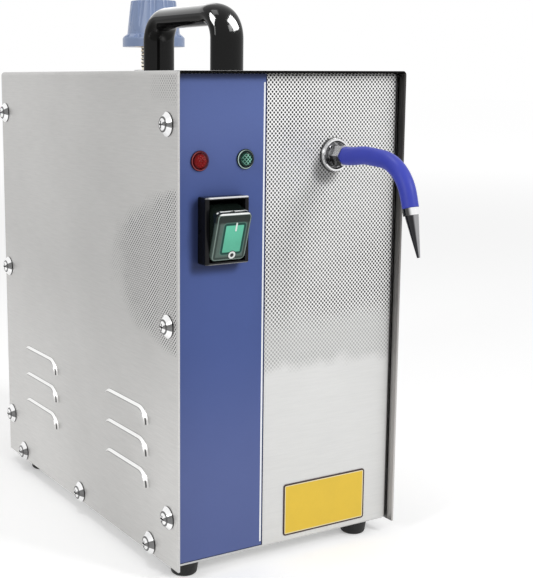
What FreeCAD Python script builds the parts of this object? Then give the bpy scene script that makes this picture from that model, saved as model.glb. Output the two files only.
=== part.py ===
"""Bench-top jewelry steam cleaner, as a parametric document of separate pieces.

Millimetres. +X is right, +Y is back, +Z is up. The floor is z = 0, and the origin is on it,
under the middle of the case. The front faces -Y.
"""

import FreeCAD, Part
import math
import operator
import os
from types import SimpleNamespace

import Sketcher

Vector = FreeCAD.Vector
Rotation = FreeCAD.Rotation

# Driving dimensions, one sheet cell each. Heights are from the underside of the case.
SIZES = {
    # case and chassis
    "case_width": "180",
    "case_depth": "296",
    "case_setback": "15.914",
    "case_height": "323",
    "cover_gauge": "1.5",
    "cover_bend": "3",
    "panel_recess": "6.5",
    "panel_gauge": "1.5",
    "panel_bend": "2.5",
    "panel_flange": "16",
    "base_gauge": "1.5",
    "base_flange": "18",
    # louvres pressed out of the cover's sides
    "louvre_length": "68",
    "louvre_height": "12",
    "louvre_rise": "2.4",
    "louvre_pitch": "22",
    "louvre_lowest": "45",
    "louvre_front_inset": "67.75",
    "louvre_rear_inset": "71.75",
    # cover screws in their cup washers
    "screw_shank": "4",
    "screw_head": "8.4",
    "screw_reach": "10",
    "screw_hole_gap": "0.2",
    "screw_column_inset": "7.25",
    "screw_column_lowest": "33",
    "base_screw_height": "6.5",
    "base_screw_end_inset": "32.75",
    "washer_diameter": "15.6",
    "washer_height": "3.2",
    "washer_rim": "0.6",
    "driver_slot": "1.1",
    "driver_span": "4.6",
    "driver_depth": "2",
    # feet
    "foot_height": "9.5",
    "foot_diameter": "20",
    "foot_tread": "17",
    "foot_round": "2",
    "foot_left_inset": "15",
    "foot_right_inset": "22.5",
    "foot_front_inset": "12",
    "foot_rear_inset": "35",
    "foot_screw_head": "8",
    "foot_screw_sink": "4",
    "foot_screw_reach": "10.5",
    # control strip and label on the front panel
    "strip_edge": "20.5",
    "strip_margin": "2.5",
    "strip_top_gap": "0.4",
    "strip_thickness": "0.5",
    "label_width": "70",
    "label_height": "37",
    "label_corner": "2",
    "label_thickness": "0.5",
    "label_centre": "32",
    "label_lift": "23.5",
    # pilot lamps
    "lamp_drop": "56",
    "red_lamp_inset": "19",
    "green_lamp_inset": "53",
    "lens_diameter": "13",
    "lens_rim": "1.2",
    "lens_proud": "4.2",
    "lens_dome": "11.2",
    "lamp_body_diameter": "10.2",
    "lamp_body_length": "24",
    "lamp_catch": "0.8",
    # rocker switch
    "switch_inset": "34.25",
    "switch_drop": "100",
    "switch_width": "32.5",
    "switch_length": "43",
    "switch_proud": "9.8",
    "switch_corner": "1.2",
    "switch_edge": "0.7",
    "switch_wall": "1",
    "switch_depth": "27",
    "switch_well": "7",
    "window_gap": "0.4",
    "rocker_width": "26",
    "rocker_length": "33",
    "rocker_corner": "4",
    "rocker_edge": "1.6",
    "rocker_face": "12.5",
    "rocker_back": "4",
    "rocker_tilt": "17",
    "rocker_pivot": "3",
    "boot_wall": "1.4",
    "pin_diameter": "2",
    "pin_running_gap": "0.05",
    # steam spout
    "spout_inset": "55.5",
    "spout_drop_from_top": "55.6",
    "escutcheon_diameter": "23.4",
    "escutcheon_height": "3.2",
    "fitting_flats": "12.8",
    "fitting_front": "13.5",
    "fitting_hex_length": "9.5",
    "fitting_thread": "10",
    "fitting_rear": "14",
    "fitting_nut_flats": "15",
    "fitting_nut_height": "4",
    "steam_bore": "4",
    "spout_tube_diameter": "6",
    "sleeve_diameter": "12.2",
    "sleeve_gap": "0.1",
    "spout_lead": "5",
    "spout_rise": "1.6",
    "spout_crest": "20",
    "spout_bow": "60",
    "spout_reach": "57",
    "spout_droop": "1.4",
    "spout_bend": "30",
    "spout_drop": "28.4",
    "nozzle_tilt": "16.5",
    "collar_diameter": "10.7",
    "collar_length": "4.6",
    "nozzle_base": "8.7",
    "nozzle_length": "26.4",
    "nozzle_tip_diameter": "2",
    "nozzle_bore": "1",
    # carrying handle
    "handle_width": "26",
    "handle_thickness": "16",
    "handle_height": "48.5",
    "handle_span": "100.5",
    "handle_ahead": "9.75",
    "handle_bend": "18",
    "handle_screw": "6",
    "handle_screw_head": "10",
    "handle_screw_bite": "20",
    # filler neck and cap
    "neck_right_of_boiler": "13",
    "neck_behind_boiler": "37",
    "neck_diameter": "21.8",
    "neck_bore": "16",
    "neck_above_deck": "46",
    "neck_thread_pitch": "3",
    "neck_thread_depth": "0.9",
    "neck_hole_gap": "1.5",
    "neck_boss_diameter": "30",
    "neck_boss_above": "6",
    "neck_boss_below": "12",
    "deck_washer_diameter": "36",
    "deck_washer_height": "2",
    "cap_lift_off_deck": "21",
    "cap_height": "37.6",
    "cap_flange_diameter": "52",
    "cap_flange_height": "7.6",
    "cap_shoulder": "3",
    "cap_waist_diameter": "44",
    "cap_crown_diameter": "38",
    "cap_roof": "2.2",
    "cap_flutes": "12",
    "flute_diameter": "7.6",
    "flute_depth": "2",
    "insert_diameter": "32",
    "insert_roof": "2.4",
    "cap_running_gap": "0.3",
    "cap_thread_length": "9",
    "gasket_thickness": "2.5",
    "gasket_width": "5",
    "relief_bore": "6",
    "relief_seat_diameter": "10",
    "relief_seat_thickness": "1.4",
    "relief_stem": "2.4",
    "relief_spring_wire": "0.7",
    "relief_spring_diameter": "7",
    # boiler
    "boiler_right": "15",
    "boiler_side_room": "3.2",
    "boiler_rear_room": "12.2",
    "boiler_wall": "2",
    "boiler_bottom": "62",
    "boiler_headroom": "73",
    "head_round": "20",
    "jacket_thickness": "8",
    "jacket_gap": "0.3",
    "jacket_end_inset": "3",
    "stand_ring_inner": "58",
    "stand_ring_outer": "84",
    "stand_gauge": "3",
    "stand_leg_width": "20",
    "stand_toe": "16",
    "stand_legs": "4",
    "heater_plug_flats": "46",
    "heater_plug_thickness": "8",
    "heater_port": "34",
    "heater_tube": "8",
    "heater_pitch": "20",
    "heater_rise": "110",
    "heater_bend": "8",
    "heater_tail": "10",
    # controls on the boiler's top head
    "gauge_stub": "10",
    "pressure_switch_diameter": "28",
    "pressure_switch_height": "30",
    "pressure_switch_stand": "8",
    "pressure_switch_left": "18",
    "pressure_switch_ahead": "12",
    "thermostat_diameter": "16",
    "thermostat_flange": "20",
    "thermostat_height": "10",
    "thermostat_left": "25",
    "thermostat_behind": "21",
    # steam valve and pipes
    "valve_setback": "63.5",
    "valve_width": "26",
    "valve_length": "34",
    "valve_height": "26",
    "armature_diameter": "13",
    "armature_bore": "10",
    "armature_rise": "32",
    "armature_floor": "4",
    "plunger_running_gap": "0.05",
    "plunger_length": "20",
    "plunger_seat_gap": "0.3",
    "valve_spring_wire": "0.9",
    "valve_spring_diameter": "8",
    "coil_side": "30",
    "coil_height": "28",
    "coil_gap": "0.2",
    "steam_pipe_diameter": "8",
    "steam_pipe_bore": "5.6",
    "steam_pipe_ahead": "24",
    "steam_pipe_bend": "12",
    # drain cock at the back
    "drain_clearance": "3",
    "drain_pipe_diameter": "10",
    "drain_pipe_bore": "7",
    "drain_hole_gap": "1",
    "cock_diameter": "22",
    "cock_length": "30",
    "cock_plug": "12",
    "cock_plug_gap": "0.06",
    "cock_stem": "6",
    "cock_stem_rise": "6",
    "hose_tail_diameter": "11",
    "hose_tail_length": "20",
    "lever_length": "46",
    "lever_width": "9",
    "lever_thickness": "3",
    "lever_hub": "13",
    # power inlet, pedal socket and terminal block
    "inlet_left": "56",
    "inlet_height": "36",
    "inlet_flange_width": "50",
    "inlet_flange_height": "22.5",
    "inlet_flange_thickness": "3",
    "inlet_body_width": "28",
    "inlet_body_height": "20",
    "inlet_depth": "24",
    "inlet_well_width": "24",
    "inlet_well_height": "16",
    "inlet_well_depth": "17",
    "inlet_corner": "3",
    "inlet_screw_spread": "40",
    "inlet_screw": "3",
    "inlet_screw_head": "5.6",
    "inlet_pin_width": "4",
    "inlet_pin_thickness": "2",
    "inlet_pin_spread": "14",
    "inlet_pin_drop": "4",
    "pedal_left": "56",
    "pedal_height": "76",
    "pedal_flange": "21",
    "pedal_thread": "15",
    "pedal_proud": "7",
    "pedal_depth": "16",
    "pedal_well": "11",
    "pedal_well_depth": "12",
    "pedal_contact": "1.6",
    "pedal_contact_spread": "4.4",
    "pedal_contact_length": "7",
    "block_width": "22",
    "block_length": "62",
    "block_height": "17",
    "block_side_inset": "30",
    "block_screw": "5",
    "block_pitch": "11",
    "block_screws": "5",
}


class Length:
    """A size that carries both its number and the sheet expression behind it."""

    def __init__(self, text, value):
        self.text = text
        self.value = value

    def __add__(self, other):
        return combined(self, "+", other)

    def __radd__(self, other):
        return combined(other, "+", self)

    def __sub__(self, other):
        return combined(self, "-", other)

    def __rsub__(self, other):
        return combined(other, "-", self)

    def __mul__(self, other):
        return combined(self, "*", other)

    def __rmul__(self, other):
        return combined(other, "*", self)

    def __truediv__(self, other):
        return combined(self, "/", other)

    def __neg__(self):
        return combined(0, "-", self)


ARITHMETIC = {"+": operator.add, "-": operator.sub, "*": operator.mul, "/": operator.truediv}


def as_length(size):
    """Give a plain number the same form as a sheet size."""
    if isinstance(size, Length):
        return size
    return Length("(%r)" % float(size), float(size))


def combined(left, sign, right):
    """Work out left sign right, as a number and as an expression."""
    left = as_length(left)
    right = as_length(right)
    text = "(%s %s %s)" % (left.text, sign, right.text)
    return Length(text, ARITHMETIC[sign](left.value, right.value))


def sine(degrees):
    return Length("sin(%s)" % degrees.text, math.sin(math.radians(degrees.value)))


def cosine(degrees):
    return Length("cos(%s)" % degrees.text, math.cos(math.radians(degrees.value)))


doc = FreeCAD.newDocument("steam_cleaner")
sheet = doc.addObject("Spreadsheet::Sheet", "size")
for row, (alias, text) in enumerate(SIZES.items(), start=1):
    sheet.set("A%d" % row, text)
    sheet.setAlias("A%d" % row, alias)
doc.recompute()
d = SimpleNamespace(**{alias: Length("size." + alias, float(text)) for alias, text in SIZES.items()})

# Levels and faces that several pieces share.
half_width = d.case_width / 2
front_edge = d.case_setback - d.case_depth / 2
back_face = d.case_setback + d.case_depth / 2
panel_face = front_edge + d.panel_recess
case_bottom = d.foot_height
deck = case_bottom + d.case_height
deck_underside = deck - d.cover_gauge
chassis_half = half_width - d.cover_gauge
chassis_middle = (panel_face + back_face) / 2
tray_top = case_bottom + d.panel_gauge + d.base_gauge
strip_face = panel_face - d.strip_thickness
boiler_floor = case_bottom + d.boiler_bottom
boiler_roof = deck - d.boiler_headroom
lagging_radius = chassis_half - d.boiler_right - d.boiler_side_room
boiler_radius = lagging_radius - d.jacket_thickness - d.jacket_gap
boiler_y = back_face - d.panel_gauge - d.boiler_rear_room - lagging_radius
neck_x = d.boiler_right + d.neck_right_of_boiler
neck_y = boiler_y + d.neck_behind_boiler
spout_x = half_width - d.spout_inset
spout_axis = deck - d.spout_drop_from_top
lamp_level = deck - d.lamp_drop
lamps = (("red", -half_width + d.red_lamp_inset), ("green", -half_width + d.green_lamp_inset))
switch_x = -half_width + d.switch_inset
switch_level = deck - d.switch_drop

# Turns that point a piece's own +z outwards.
UPRIGHT = Rotation(Vector(0, 0, 1), 0)
FORWARD = Rotation(Vector(1, 0, 0), 90)
BACKWARD = Rotation(Vector(0, 0, 1), 180).multiply(FORWARD)
LEFTWARD = Rotation(Vector(0, 1, 0), -90)
RIGHTWARD = Rotation(Vector(0, 1, 0), 90)
DOWNWARD = Rotation(Vector(1, 0, 0), 180)
MIRRORED = Rotation(Vector(0, 0, 1), 180).multiply(LEFTWARD)

TOUCH = 0.001
pieces = []


# ---- ways of making a piece ----------------------------------------------------------------


def bind(thing, name, size):
    """Tie a property to its expression."""
    thing.setExpression(name, as_length(size).text)


def keep(thing, name):
    """Name a finished piece and list it for export."""
    thing.Label = name
    pieces.append(thing)
    return thing


def place(thing, x, y, z, turn=UPRIGHT):
    """Put a piece's own origin at a point, turned."""
    thing.Placement = FreeCAD.Placement(Vector(0, 0, 0), turn)
    for axis, size in zip("xyz", (x, y, z)):
        bind(thing, "Placement.Base." + axis, size)
    return thing


def origin(body, role):
    """One of a body's own origin planes or axes."""
    return [item for item in body.Origin.OriginFeatures if item.Role == role][0]


def new_body(name):
    body = doc.addObject("PartDesign::Body", name)
    body.Label = name
    return body


def new_sketch(body, name, height=0, role="XY_Plane"):
    """A sketch on one of the body's planes, lifted along the plane's normal."""
    sketch = body.newObject("Sketcher::SketchObject", "%s_%s" % (body.Name, name))
    sketch.AttachmentSupport = [(origin(body, role), "")]
    sketch.MapMode = "FlatFace"
    bind(sketch, "AttachmentOffset.Base.z", height)
    return sketch


def pin(sketch, element, point, x, y):
    """Dimension a sketch point from the sketch's origin, both ways."""
    for kind, size in (("DistanceX", as_length(x)), ("DistanceY", as_length(y))):
        rule = Sketcher.Constraint(kind, -1, 1, element, point, size.value)
        bind(sketch, "Constraints[%d]" % sketch.addConstraint(rule), size)


def draw_outline(sketch, corners):
    """A closed outline of straight edges, every corner dimensioned."""
    corners = [(as_length(x), as_length(y)) for x, y in corners]
    first = sketch.GeometryCount
    count = len(corners)
    flat = [Vector(x.value, y.value, 0) for x, y in corners]
    edges = [Part.LineSegment(flat[n], flat[(n + 1) % count]) for n in range(count)]
    sketch.addGeometry(edges, False)
    joins = [
        Sketcher.Constraint("Coincident", first + n, 2, first + (n + 1) % count, 1)
        for n in range(count)
    ]
    sketch.addConstraint(joins)
    for n, (x, y) in enumerate(corners):
        pin(sketch, first + n, 1, x, y)


def draw_box(sketch, left, bottom, right, top):
    draw_outline(sketch, [(left, bottom), (right, bottom), (right, top), (left, top)])


def draw_circle(sketch, x, y, diameter):
    x, y, radius = as_length(x), as_length(y), as_length(diameter) / 2
    circle = Part.Circle(Vector(x.value, y.value, 0), Vector(0, 0, 1), radius.value)
    element = sketch.addGeometry(circle, False)
    pin(sketch, element, 3, x, y)
    rule = sketch.addConstraint(Sketcher.Constraint("Radius", element, radius.value))
    bind(sketch, "Constraints[%d]" % rule, radius)


def draw_oval(sketch, width, thickness):
    """An ellipse about the sketch's origin, with its width along the sketch's x axis."""
    wide, thin = as_length(width), as_length(thickness)
    ellipse = Part.Ellipse(Vector(0, 0, 0), wide.value / 2, thin.value / 2)
    element = sketch.addGeometry(ellipse, False)
    pin(sketch, element, 3, as_length(0), as_length(0))
    sketch.exposeInternalGeometry(element)
    sketch.addConstraint(Sketcher.Constraint("Horizontal", element + 1))
    for axis, size in ((element + 1, wide), (element + 2, thin)):
        rule = sketch.addConstraint(Sketcher.Constraint("Distance", axis, size.value))
        bind(sketch, "Constraints[%d]" % rule, size)


def draw_hexagon(sketch, flats):
    """A hexagon with corners left and right and flats above and below."""
    corner = flats / math.sqrt(3)
    half = corner / 2
    side = flats / 2
    draw_outline(
        sketch,
        [(corner, 0), (half, side), (-half, side), (-corner, 0), (-half, -side), (half, -side)],
    )


def draw_route(sketch, points, radii):
    """Straight runs joined by tangent arcs; the ends and the corners between runs are dimensioned."""
    points = [(as_length(x), as_length(y)) for x, y in points]
    radii = [as_length(radius) for radius in radii]
    flat = [Vector(x.value, y.value, 0) for x, y in points]
    starts, ends, centres = [flat[0]], [], []
    for before, corner, after, radius in zip(flat, flat[1:], flat[2:], radii):
        inward = (before - corner).normalize()
        outward = (after - corner).normalize()
        half_turn = (math.pi - inward.getAngle(outward)) / 2
        ends.append(corner + inward * (radius.value * math.tan(half_turn)))
        starts.append(corner + outward * (radius.value * math.tan(half_turn)))
        centres.append(corner + (inward + outward).normalize() * (radius.value / math.cos(half_turn)))
    ends.append(flat[-1])
    runs = [sketch.addGeometry(Part.LineSegment(a, b), False) for a, b in zip(starts, ends)]
    pin(sketch, runs[0], 1, *points[0])
    pin(sketch, runs[-1], 2, *points[-1])
    for n, (centre, radius) in enumerate(zip(centres, radii)):
        entry, leave = ends[n] - centre, starts[n + 1] - centre
        rim = Part.Circle(centre, Vector(0, 0, 1), radius.value)
        angles = [math.atan2(entry.y, entry.x), math.atan2(leave.y, leave.x)]
        first, last = 1, 2
        if entry.cross(leave).z < 0:
            angles.reverse()
            first, last = 2, 1
        if angles[1] < angles[0]:
            angles[1] += 2 * math.pi
        bend = sketch.addGeometry(Part.ArcOfCircle(rim, *angles), False)
        corner = sketch.addGeometry(Part.Point(flat[n + 1]), True)
        sketch.addConstraint(
            [
                Sketcher.Constraint("Tangent", runs[n], 2, bend, first),
                Sketcher.Constraint("Tangent", bend, last, runs[n + 1], 1),
                Sketcher.Constraint("PointOnObject", corner, 1, runs[n]),
                Sketcher.Constraint("PointOnObject", corner, 1, runs[n + 1]),
            ]
        )
        rule = sketch.addConstraint(Sketcher.Constraint("Radius", bend, radius.value))
        bind(sketch, "Constraints[%d]" % rule, radius)
        pin(sketch, corner, 1, *points[n + 1])


def pad(body, sketch, length):
    feature = body.newObject("PartDesign::Pad", sketch.Name + "_pad")
    feature.Profile = sketch
    bind(feature, "Length", length)
    sketch.Visibility = False
    return feature


def pocket(body, sketch, depth, upward=False):
    """Cut from the sketch, down against the plane's normal or up along it; insist that it cuts."""
    doc.recompute()
    before = body.Shape.Volume
    feature = body.newObject("PartDesign::Pocket", sketch.Name + "_pocket")
    feature.Profile = sketch
    feature.Reversed = upward
    bind(feature, "Length", depth)
    doc.recompute()
    if before - body.Shape.Volume < TOUCH:
        raise RuntimeError("%s cuts nothing" % feature.Name)
    return feature


def slab(body, name, box, low, high):
    """A straight block between two heights."""
    sketch = new_sketch(body, name, low)
    draw_box(sketch, *box)
    return pad(body, sketch, high - low)


def well(body, name, box, low, high):
    """A rectangular cut between two heights."""
    sketch = new_sketch(body, name, high)
    draw_box(sketch, *box)
    return pocket(body, sketch, high - low)


def bore(body, name, x, y, diameter, low, high):
    """A round cut between two heights."""
    sketch = new_sketch(body, name, high)
    draw_circle(sketch, x, y, diameter)
    return pocket(body, sketch, high - low)


def turned(name, profile):
    """A body turned about its own z axis from (radius, height) corners."""
    body = new_body(name)
    sketch = new_sketch(body, "profile", role="XZ_Plane")
    draw_outline(sketch, profile)
    feature = body.newObject("PartDesign::Revolution", name + "_turn")
    feature.Profile = sketch
    feature.ReferenceAxis = (origin(body, "Z_Axis"), [""])
    feature.Angle = 360
    return body


def round_edges(body, radius, wanted):
    """Round every edge of the body, as it now stands, that passes the test."""
    doc.recompute()
    names = ["Edge%d" % n for n, edge in enumerate(body.Tip.Shape.Edges, start=1) if wanted(edge)]
    if not names:
        raise RuntimeError("%s has no edge to round" % body.Label)
    rounded = body.Tip
    feature = body.newObject("PartDesign::Fillet", "%s_round" % body.Name)
    feature.Base = (rounded, names)
    bind(feature, "Radius", radius)
    return feature


def is_near(value, size):
    return abs(value - as_length(size).value) < TOUCH


def is_upright(edge):
    """True for a straight edge along the body's z axis."""
    if not isinstance(edge.Curve, Part.Line):
        return False
    return abs(abs(edge.Curve.Direction.z) - 1) < TOUCH


def is_rim(diameter, height):
    """A test for the circular edge of one diameter at one height."""

    def test(edge):
        if not isinstance(edge.Curve, Part.Circle):
            return False
        same = is_near(edge.Curve.Radius, as_length(diameter) / 2)
        return same and is_near(edge.Curve.Center.z, height)

    return test


def is_level(height):
    """A test for an edge that lies flat at one height."""

    def test(edge):
        box = edge.BoundBox
        return is_near(box.ZMin, height) and is_near(box.ZMax, height)

    return test


def bent_tube(name, points, radii, diameter, hole=None, role="YZ_Plane", thickness=None):
    """A round rod or tube along a flat route in one of the body's planes.

    With a thickness it is an oval rod, which is thinner in the plane that it bends in.
    """
    body = new_body(name)
    route = new_sketch(body, "route", role=role)
    draw_route(route, points, radii)
    doc.recompute()
    section = body.newObject("Sketcher::SketchObject", name + "_section")
    section.AttachmentSupport = [(route, "Edge1")]
    section.MapMode = "NormalToEdge"
    if thickness is None:
        draw_circle(section, 0, 0, diameter)
    else:
        draw_oval(section, diameter, thickness)
    if hole is not None:
        draw_circle(section, 0, 0, hole)
    feature = body.newObject("PartDesign::AdditivePipe", name + "_pipe")
    feature.Profile = section
    feature.Spine = (route, ["Edge%d" % (n + 1) for n in range(len(route.Shape.Edges))])
    return body


def coil_spring(name, diameter, wire, bottom, top, turns):
    """A helical compression spring about the body's z axis, between two heights."""
    body = new_body(name)
    section = new_sketch(body, "section", role="XZ_Plane")
    draw_circle(section, (diameter - wire) / 2, bottom + wire / 2, wire)
    feature = body.newObject("PartDesign::AdditiveHelix", name + "_helix")
    feature.Profile = section
    feature.ReferenceAxis = (section, ["V_Axis"])
    feature.Mode = "height-turns-angle"
    bind(feature, "Height", top - bottom - wire)
    bind(feature, "Turns", turns)
    return body


def copies(name, master, places):
    """One group of separate copies of a master, each at (x, y, z, turn)."""
    links = []
    for x, y, z, turn in places:
        link = doc.addObject("App::Link", name + "_copy")
        link.LinkedObject = master
        link.LinkPlacement = FreeCAD.Placement(Vector(0, 0, 0), turn)
        for axis, size in zip("xyz", (x, y, z)):
            bind(link, "LinkPlacement.Base." + axis, size)
        links.append(link)
    group = doc.addObject("Part::Compound", name)
    group.Links = links
    return group


def polar(body, features, count):
    """Repeat features of a body evenly about its z axis."""
    pattern = body.newObject("PartDesign::PolarPattern", body.Name + "_pattern")
    pattern.Originals = features
    pattern.Axis = (origin(body, "Z_Axis"), [""])
    pattern.Angle = 360
    bind(pattern, "Occurrences", count)
    body.Tip = pattern
    return pattern


def rod(name, diameter, length, x, y, z, turn):
    """A plain cylinder from a point, along the turned z axis."""
    cylinder = doc.addObject("Part::Cylinder", name)
    bind(cylinder, "Radius", diameter / 2)
    bind(cylinder, "Height", length)
    return place(cylinder, x, y, z, turn)


def cut(name, base, tools):
    """The base with every tool taken out of it."""
    group = doc.addObject("Part::Compound", name + "_tools")
    group.Links = tools
    result = doc.addObject("Part::Cut", name + "_cut")
    result.Base = base
    result.Tool = group
    doc.recompute()
    if base.Shape.Volume - result.Shape.Volume < TOUCH:
        raise RuntimeError("%s is not cut" % name)
    return result


def fused(name, parts):
    result = doc.addObject("Part::MultiFuse", name)
    result.Shapes = parts
    return result


# ---- where the fasteners go ----------------------------------------------------------------

front_column = panel_face + d.screw_column_inset
back_column = back_face - d.screw_column_inset
column_low = case_bottom + d.screw_column_lowest
column_high = deck - d.screw_column_lowest
column_heights = [column_low, (column_low + column_high) / 2, column_high]
base_row = [panel_face + d.base_screw_end_inset, chassis_middle, back_face - d.base_screw_end_inset]
base_row_height = case_bottom + d.base_screw_height
front_screws = [(front_column, z) for z in column_heights]
back_screws = [(back_column, z) for z in column_heights]
base_screws = [(y, base_row_height) for y in base_row]
foot_sides = (("left", -half_width + d.foot_left_inset), ("right", half_width - d.foot_right_inset))
foot_front = panel_face + d.foot_front_inset
foot_back = back_face - d.foot_rear_inset
handle_legs = [d.case_setback - d.handle_ahead + d.handle_span / 2 * side for side in (-1, 1)]


def switch_body_box(inset):
    """The switch's body seen from the front; an inset gives the window inside its walls."""
    swing = sine(d.rocker_tilt) * d.rocker_face + cosine(d.rocker_tilt) * d.rocker_length / 2
    half_wide = d.rocker_width / 2 + d.window_gap + d.switch_wall - inset
    half_long = swing + d.window_gap + d.switch_wall - inset
    return (switch_x - half_wide, switch_level - half_long,
            switch_x + half_wide, switch_level + half_long)


def cross_drills(name, spots, diameter):
    """Drills straight across the case, one for each pair of opposite screws."""
    start = -half_width - d.cover_bend
    length = (half_width + d.cover_bend) * 2
    return [rod(name, diameter, length, start, y, z, RIGHTWARD) for y, z in spots]


# ---- outer cover ---------------------------------------------------------------------------


def louvre(name, shrink, sink):
    """The hood's outline as a lofted body: its own z points out of the sheet, its x up."""
    body = new_body(name)
    reach = d.louvre_rise - shrink
    shapes = []
    for height, level in ((d.louvre_height - shrink, -sink), (d.louvre_height - shrink, 0),
                          (d.louvre_height - d.louvre_rise - shrink / 2, reach)):
        sketch = new_sketch(body, "level", level)
        draw_louvre_outline(sketch, height, d.louvre_length / 2 - d.louvre_height)
        shapes.append(sketch)
    foot = pad(body, shapes[0], sink)
    foot.Label = name + "_foot"
    hood = body.newObject("PartDesign::AdditiveLoft", name + "_hood")
    hood.Profile = shapes[1]
    hood.Sections = [shapes[2]]
    hood.Ruled = True
    return body


def draw_louvre_outline(sketch, height, half_straight):
    """Flat sill, straight brow and a quarter round at each end."""
    height, half = as_length(height), as_length(half_straight)
    up, side = height.value, half.value
    along = Vector(0, 0, 1)
    sill = sketch.addGeometry(Part.LineSegment(Vector(0, -side - up, 0), Vector(0, side + up, 0)), False)
    brow = sketch.addGeometry(Part.LineSegment(Vector(up, side, 0), Vector(up, -side, 0)), False)
    right_circle = Part.Circle(Vector(0, side, 0), along, up)
    left_circle = Part.Circle(Vector(0, -side, 0), along, up)
    right = sketch.addGeometry(Part.ArcOfCircle(right_circle, 0, math.pi / 2), False)
    left = sketch.addGeometry(Part.ArcOfCircle(left_circle, -math.pi / 2, 0), False)
    sketch.addConstraint(
        [
            Sketcher.Constraint("Coincident", sill, 2, right, 2),
            Sketcher.Constraint("Coincident", right, 1, brow, 1),
            Sketcher.Constraint("Coincident", brow, 2, left, 2),
            Sketcher.Constraint("Coincident", left, 1, sill, 1),
        ]
    )
    for element, point, x, y in ((right, 3, 0, half), (left, 3, 0, -half), (brow, 1, height, half),
                                 (brow, 2, height, -half)):
        pin(sketch, element, point, x, y)
    for end in (1, 2):
        sketch.addConstraint(Sketcher.Constraint("PointOnObject", sill, end, -2))


def make_outer_cover():
    shell = new_body("cover_shell")
    section = new_sketch(shell, "section")
    top, inner_top = deck, deck_underside
    draw_outline(
        section,
        [
            (-half_width, case_bottom), (-half_width, top), (half_width, top),
            (half_width, case_bottom), (chassis_half, case_bottom), (chassis_half, inner_top),
            (-chassis_half, inner_top), (-chassis_half, case_bottom),
        ],
    )
    pad(shell, section, d.case_depth)

    def is_outer_bend(edge):
        box = edge.BoundBox
        return is_upright(edge) and is_near(abs(box.XMin), half_width) and is_near(box.YMax, top)

    def is_inner_bend(edge):
        box = edge.BoundBox
        return is_upright(edge) and is_near(abs(box.XMin), chassis_half) and is_near(box.YMax, inner_top)

    round_edges(shell, d.cover_bend, is_outer_bend)
    round_edges(shell, d.cover_bend - d.cover_gauge, is_inner_bend)
    place(shell, 0, back_face, 0, FORWARD)

    spots = [
        (y, case_bottom + d.louvre_lowest + d.louvre_pitch * n)
        for y in (panel_face + d.louvre_front_inset, back_face - d.louvre_rear_inset)
        for n in range(3)
    ]
    sink = d.cover_gauge * 2
    hood = louvre("louvre_hood", 0, d.cover_gauge / 2)
    hollow = louvre("louvre_hollow", d.cover_gauge, sink)
    walls = ((-half_width, LEFTWARD), (half_width, MIRRORED))
    hoods = copies("louvre_hoods", hood, [(x, y, z, turn) for x, turn in walls for y, z in spots])
    hollows = copies("louvre_hollows", hollow, [(x, y, z, turn) for x, turn in walls for y, z in spots])
    drills = cross_drills("cover_drill", front_screws + back_screws + base_screws,
                          d.screw_shank + d.screw_hole_gap * 2)
    for y in handle_legs:
        drills.append(rod("handle_drill", d.handle_screw, d.cover_gauge * 4, 0, y,
                          deck - d.cover_gauge * 2, UPRIGHT))
    drills.append(rod("neck_drill", d.neck_diameter + d.neck_hole_gap * 2, d.cover_gauge * 4,
                      neck_x, neck_y, deck - d.cover_gauge * 2, UPRIGHT))
    pressed = fused("cover_pressed", [shell, hoods])
    keep(cut("outer_cover", pressed, [hollows] + drills), "outer_cover")


# ---- chassis -------------------------------------------------------------------------------


def end_pan(name, low, high):
    """A panel bent back on all four sides; its own z = 0 is the outer face, x and y lie in it."""
    body = new_body(name)
    slab(body, "face", (-chassis_half, low, chassis_half, high), -d.panel_flange, 0)
    round_edges(body, d.cover_bend, is_upright)
    round_edges(body, d.panel_bend, is_level(0))
    gauge = d.panel_gauge
    hollow = (-chassis_half + gauge, low + gauge, chassis_half - gauge, high - gauge)
    sketch = new_sketch(body, "hollow", -d.panel_flange)
    draw_box(sketch, *hollow)
    pocket(body, sketch, d.panel_flange - gauge, upward=True)
    return body


def make_front_panel():
    body = end_pan("front_pan", case_bottom, deck_underside)
    through = (-d.panel_gauge * 2, d.panel_gauge)
    for tag, x in lamps:
        bore(body, tag + "_lamp_hole", x, lamp_level, d.lamp_body_diameter, *through)
    well(body, "switch_hole", switch_body_box(0), *through)
    bore(body, "fitting_hole", spout_x, spout_axis, d.fitting_thread, *through)
    place(body, 0, panel_face, 0, FORWARD)
    drills = cross_drills("front_drill", front_screws, d.screw_shank)
    for side, x in foot_sides:
        drills.append(rod(side + "_foot_drill", d.screw_shank, d.panel_gauge * 3, x, foot_front,
                          case_bottom - d.panel_gauge, UPRIGHT))
    keep(cut("front_panel", body, drills), "front_panel")


def make_rear_panel():
    body = end_pan("rear_pan", case_bottom, deck_underside)
    through = (-d.panel_gauge * 2, d.panel_gauge)
    inlet = (d.inlet_left, case_bottom + d.inlet_height)
    half_wide, half_high = d.inlet_body_width / 2, d.inlet_body_height / 2
    well(body, "inlet_hole", (inlet[0] - half_wide, inlet[1] - half_high,
                              inlet[0] + half_wide, inlet[1] + half_high), *through)
    for side in (-1, 1):
        bore(body, "inlet_screw_hole", inlet[0] + d.inlet_screw_spread / 2 * side, inlet[1],
             d.inlet_screw, *through)
    bore(body, "pedal_hole", d.pedal_left, case_bottom + d.pedal_height, d.pedal_thread, *through)
    bore(body, "drain_hole", -d.boiler_right, drain_axis,
         d.drain_pipe_diameter + d.drain_hole_gap * 2, *through)
    place(body, 0, back_face, 0, BACKWARD)
    drills = cross_drills("rear_drill", back_screws, d.screw_shank)
    keep(cut("rear_panel", body, drills), "rear_panel")


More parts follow.
